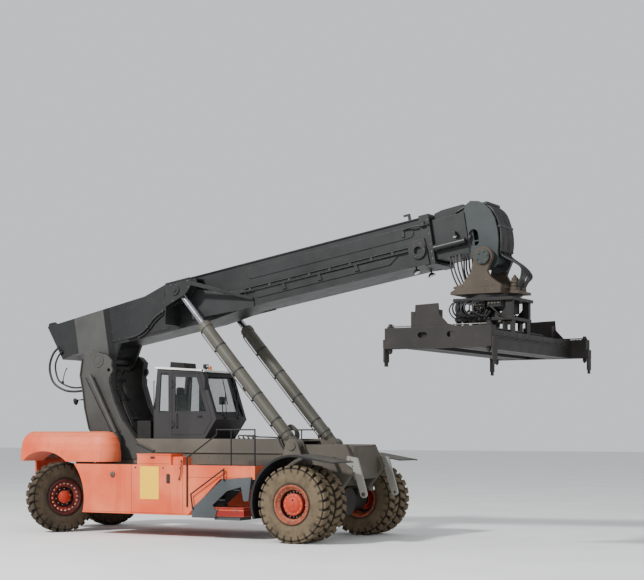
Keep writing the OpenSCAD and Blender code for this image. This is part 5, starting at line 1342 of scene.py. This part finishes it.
# %% End beams
BEAM_END = -3.03
BEAM_TOP = FRAME_LOW + 0.44
for side in ("right", "left"):
    body = "arm_" + side
    fit = Builder("arm_fittings_" + side, body, "bolt_dusty")
    rods = Builder("lock_rods_" + side, body, "pipe_steel")
    box = Builder("arm_boxes_" + side, body, "spreader_black")
    rods.rod((-1.10, BEAM_END + 0.10, BEAM_TOP + 0.035), (1.10, BEAM_END + 0.10, BEAM_TOP + 0.035), 0.014)
    for m in (-1, 1):
        box.turned((m * 1.13, BEAM_END + 0.10, BEAM_TOP - 0.001), ALONG_Z,
                   [(0.07, 0.0), (0.07, 0.03), (0.045, 0.05), (0.045, 0.085), (0.03, 0.09)], 24)
        box.box((m * 1.13 - 0.02, BEAM_END + 0.085, BEAM_TOP + 0.045),
                (m * 1.06 + 0.03, BEAM_END + 0.115, BEAM_TOP + 0.06), 0.004)
        fit.bolts([(m * x, BEAM_END + y, BEAM_TOP - 0.001) for y in (0.07, 0.19) for x in (1.02, 0.94)],
                  ALONG_Z, 0.014, 0.012)
    box.box((-0.09, BEAM_END + 0.03, BEAM_TOP - 0.002), (0.09, BEAM_END + 0.16, BEAM_TOP + 0.02), 0.006)
    finish_all(fit, rods, box, flip=side == "left")
print("end beams dressed")

# %% [markdown]
# The last small things hang on the chassis: a red tool box under the steps, two black pull handles, and
# a connector that dangles behind the tower. The box is two soft-edged blocks, the upper one a little
# wider, which gives the lid its lip and its gap.

# %% Tool box, handles and the dangling connector
cover = Builder("tool_box", "chassis", "tool_red", "faded_orange")
cover.box((5.102, -1.719, 0.548), (6.038, -1.117, 0.70), 0.012)
cover.box((5.096, -1.722, 0.704), (6.044, -1.114, 0.764), 0.012)
box_fittings = Builder("tool_box_fittings", "chassis", "bolt_steel")
for x in (5.28, 5.80):
    box_fittings.box((x, -1.730, 0.655), (x + 0.05, -1.714, 0.73), 0.004)
    box_fittings.turned((x + 0.025, -1.729, 0.675), OUT, [(0.011, 0.0), (0.011, 0.006)], 10)
grips = Builder("grips", "chassis", "seal_black")
for x, z in ((5.455, 0.93), (5.875, 1.17)):
    grips.hose([(x - 0.08, -1.705, z), (x - 0.08, -1.752, z + 0.004), (x, -1.762, z + 0.006),
                (x + 0.08, -1.752, z + 0.004), (x + 0.08, -1.705, z)], 0.014, ends=False)
grips.hose([(0.03, -0.80, 4.20), (0.02, -0.86, 4.10), (-0.02, -0.87, 3.96), (-0.045, -0.87, 3.86)], 0.012)
grips.turned((-0.046, -0.87, 3.87), (-0.1, 0, -1),
             [(0.02, 0.0), (0.035, 0.01), (0.035, 0.06), (0.026, 0.075)], 18)
finish_all(cover, box_fittings, grips)
print("trim done")

# %% [markdown]
# Plain soft studio light: a broad lamp stands high behind the camera's left shoulder, as the sun did,
# with a second, weaker one on the other side so that the black spreader keeps its shape, and pale sky
# all round. The floor is a wide pale slab that fades into the same sky.

# %% Floor and light
FLOOR_HALF = 150.0


def stage_floor():
    mesh = bpy.data.meshes.new("floor")
    corners = [(x * FLOOR_HALF, y * FLOOR_HALF, 0) for x, y in ((-1, -1), (1, -1), (1, 1), (-1, 1))]
    mesh.from_pydata(corners, [], [(0, 1, 2, 3)])
    floor = bpy.data.objects.new("floor", mesh)
    bpy.context.scene.collection.objects.link(floor)
    r = Recipe("floor_pale")
    r.shade(Base_Color=r.mix(r.clouds(0.3, 0.7, 0.4, 6.0), linear((214, 214, 212)), linear((222, 222, 220))),
            Roughness=0.8)
    mesh.materials.append(r.material)
    floor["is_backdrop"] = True


def soft_lamp(name, place, aim, size, power):
    data = bpy.data.lights.new(name, "AREA")
    data.shape, data.size, data.energy = "DISK", size, power
    made = bpy.data.objects.new(name, data)
    made.location = place
    made.rotation_euler = (Vector(aim) - Vector(place)).to_track_quat("-Z", "Y").to_euler()
    bpy.context.scene.collection.objects.link(made)


stage_floor()
soft_lamp("key_lamp", (-12.0, -30.0, 28.0), (0.0, 0.0, 2.5), 4.0, 25000.0)
soft_lamp("fill_lamp", (26.0, -14.0, 12.0), (2.0, 0.0, 3.5), 12.0, 2200.0)
sky = bpy.data.worlds.new("sky")
sky.use_nodes = True
background = sky.node_tree.nodes["Background"]
background.inputs["Color"].default_value = linear((240, 243, 248))
background.inputs["Strength"].default_value = 0.9
bpy.context.scene.world = sky
print("stage set")

# %% [markdown]
# Last, the dressed machine's box is measured and its size printed.

# %% Sizes
low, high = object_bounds()
print("size", [round(h - l, 3) for l, h in zip(low, high)])
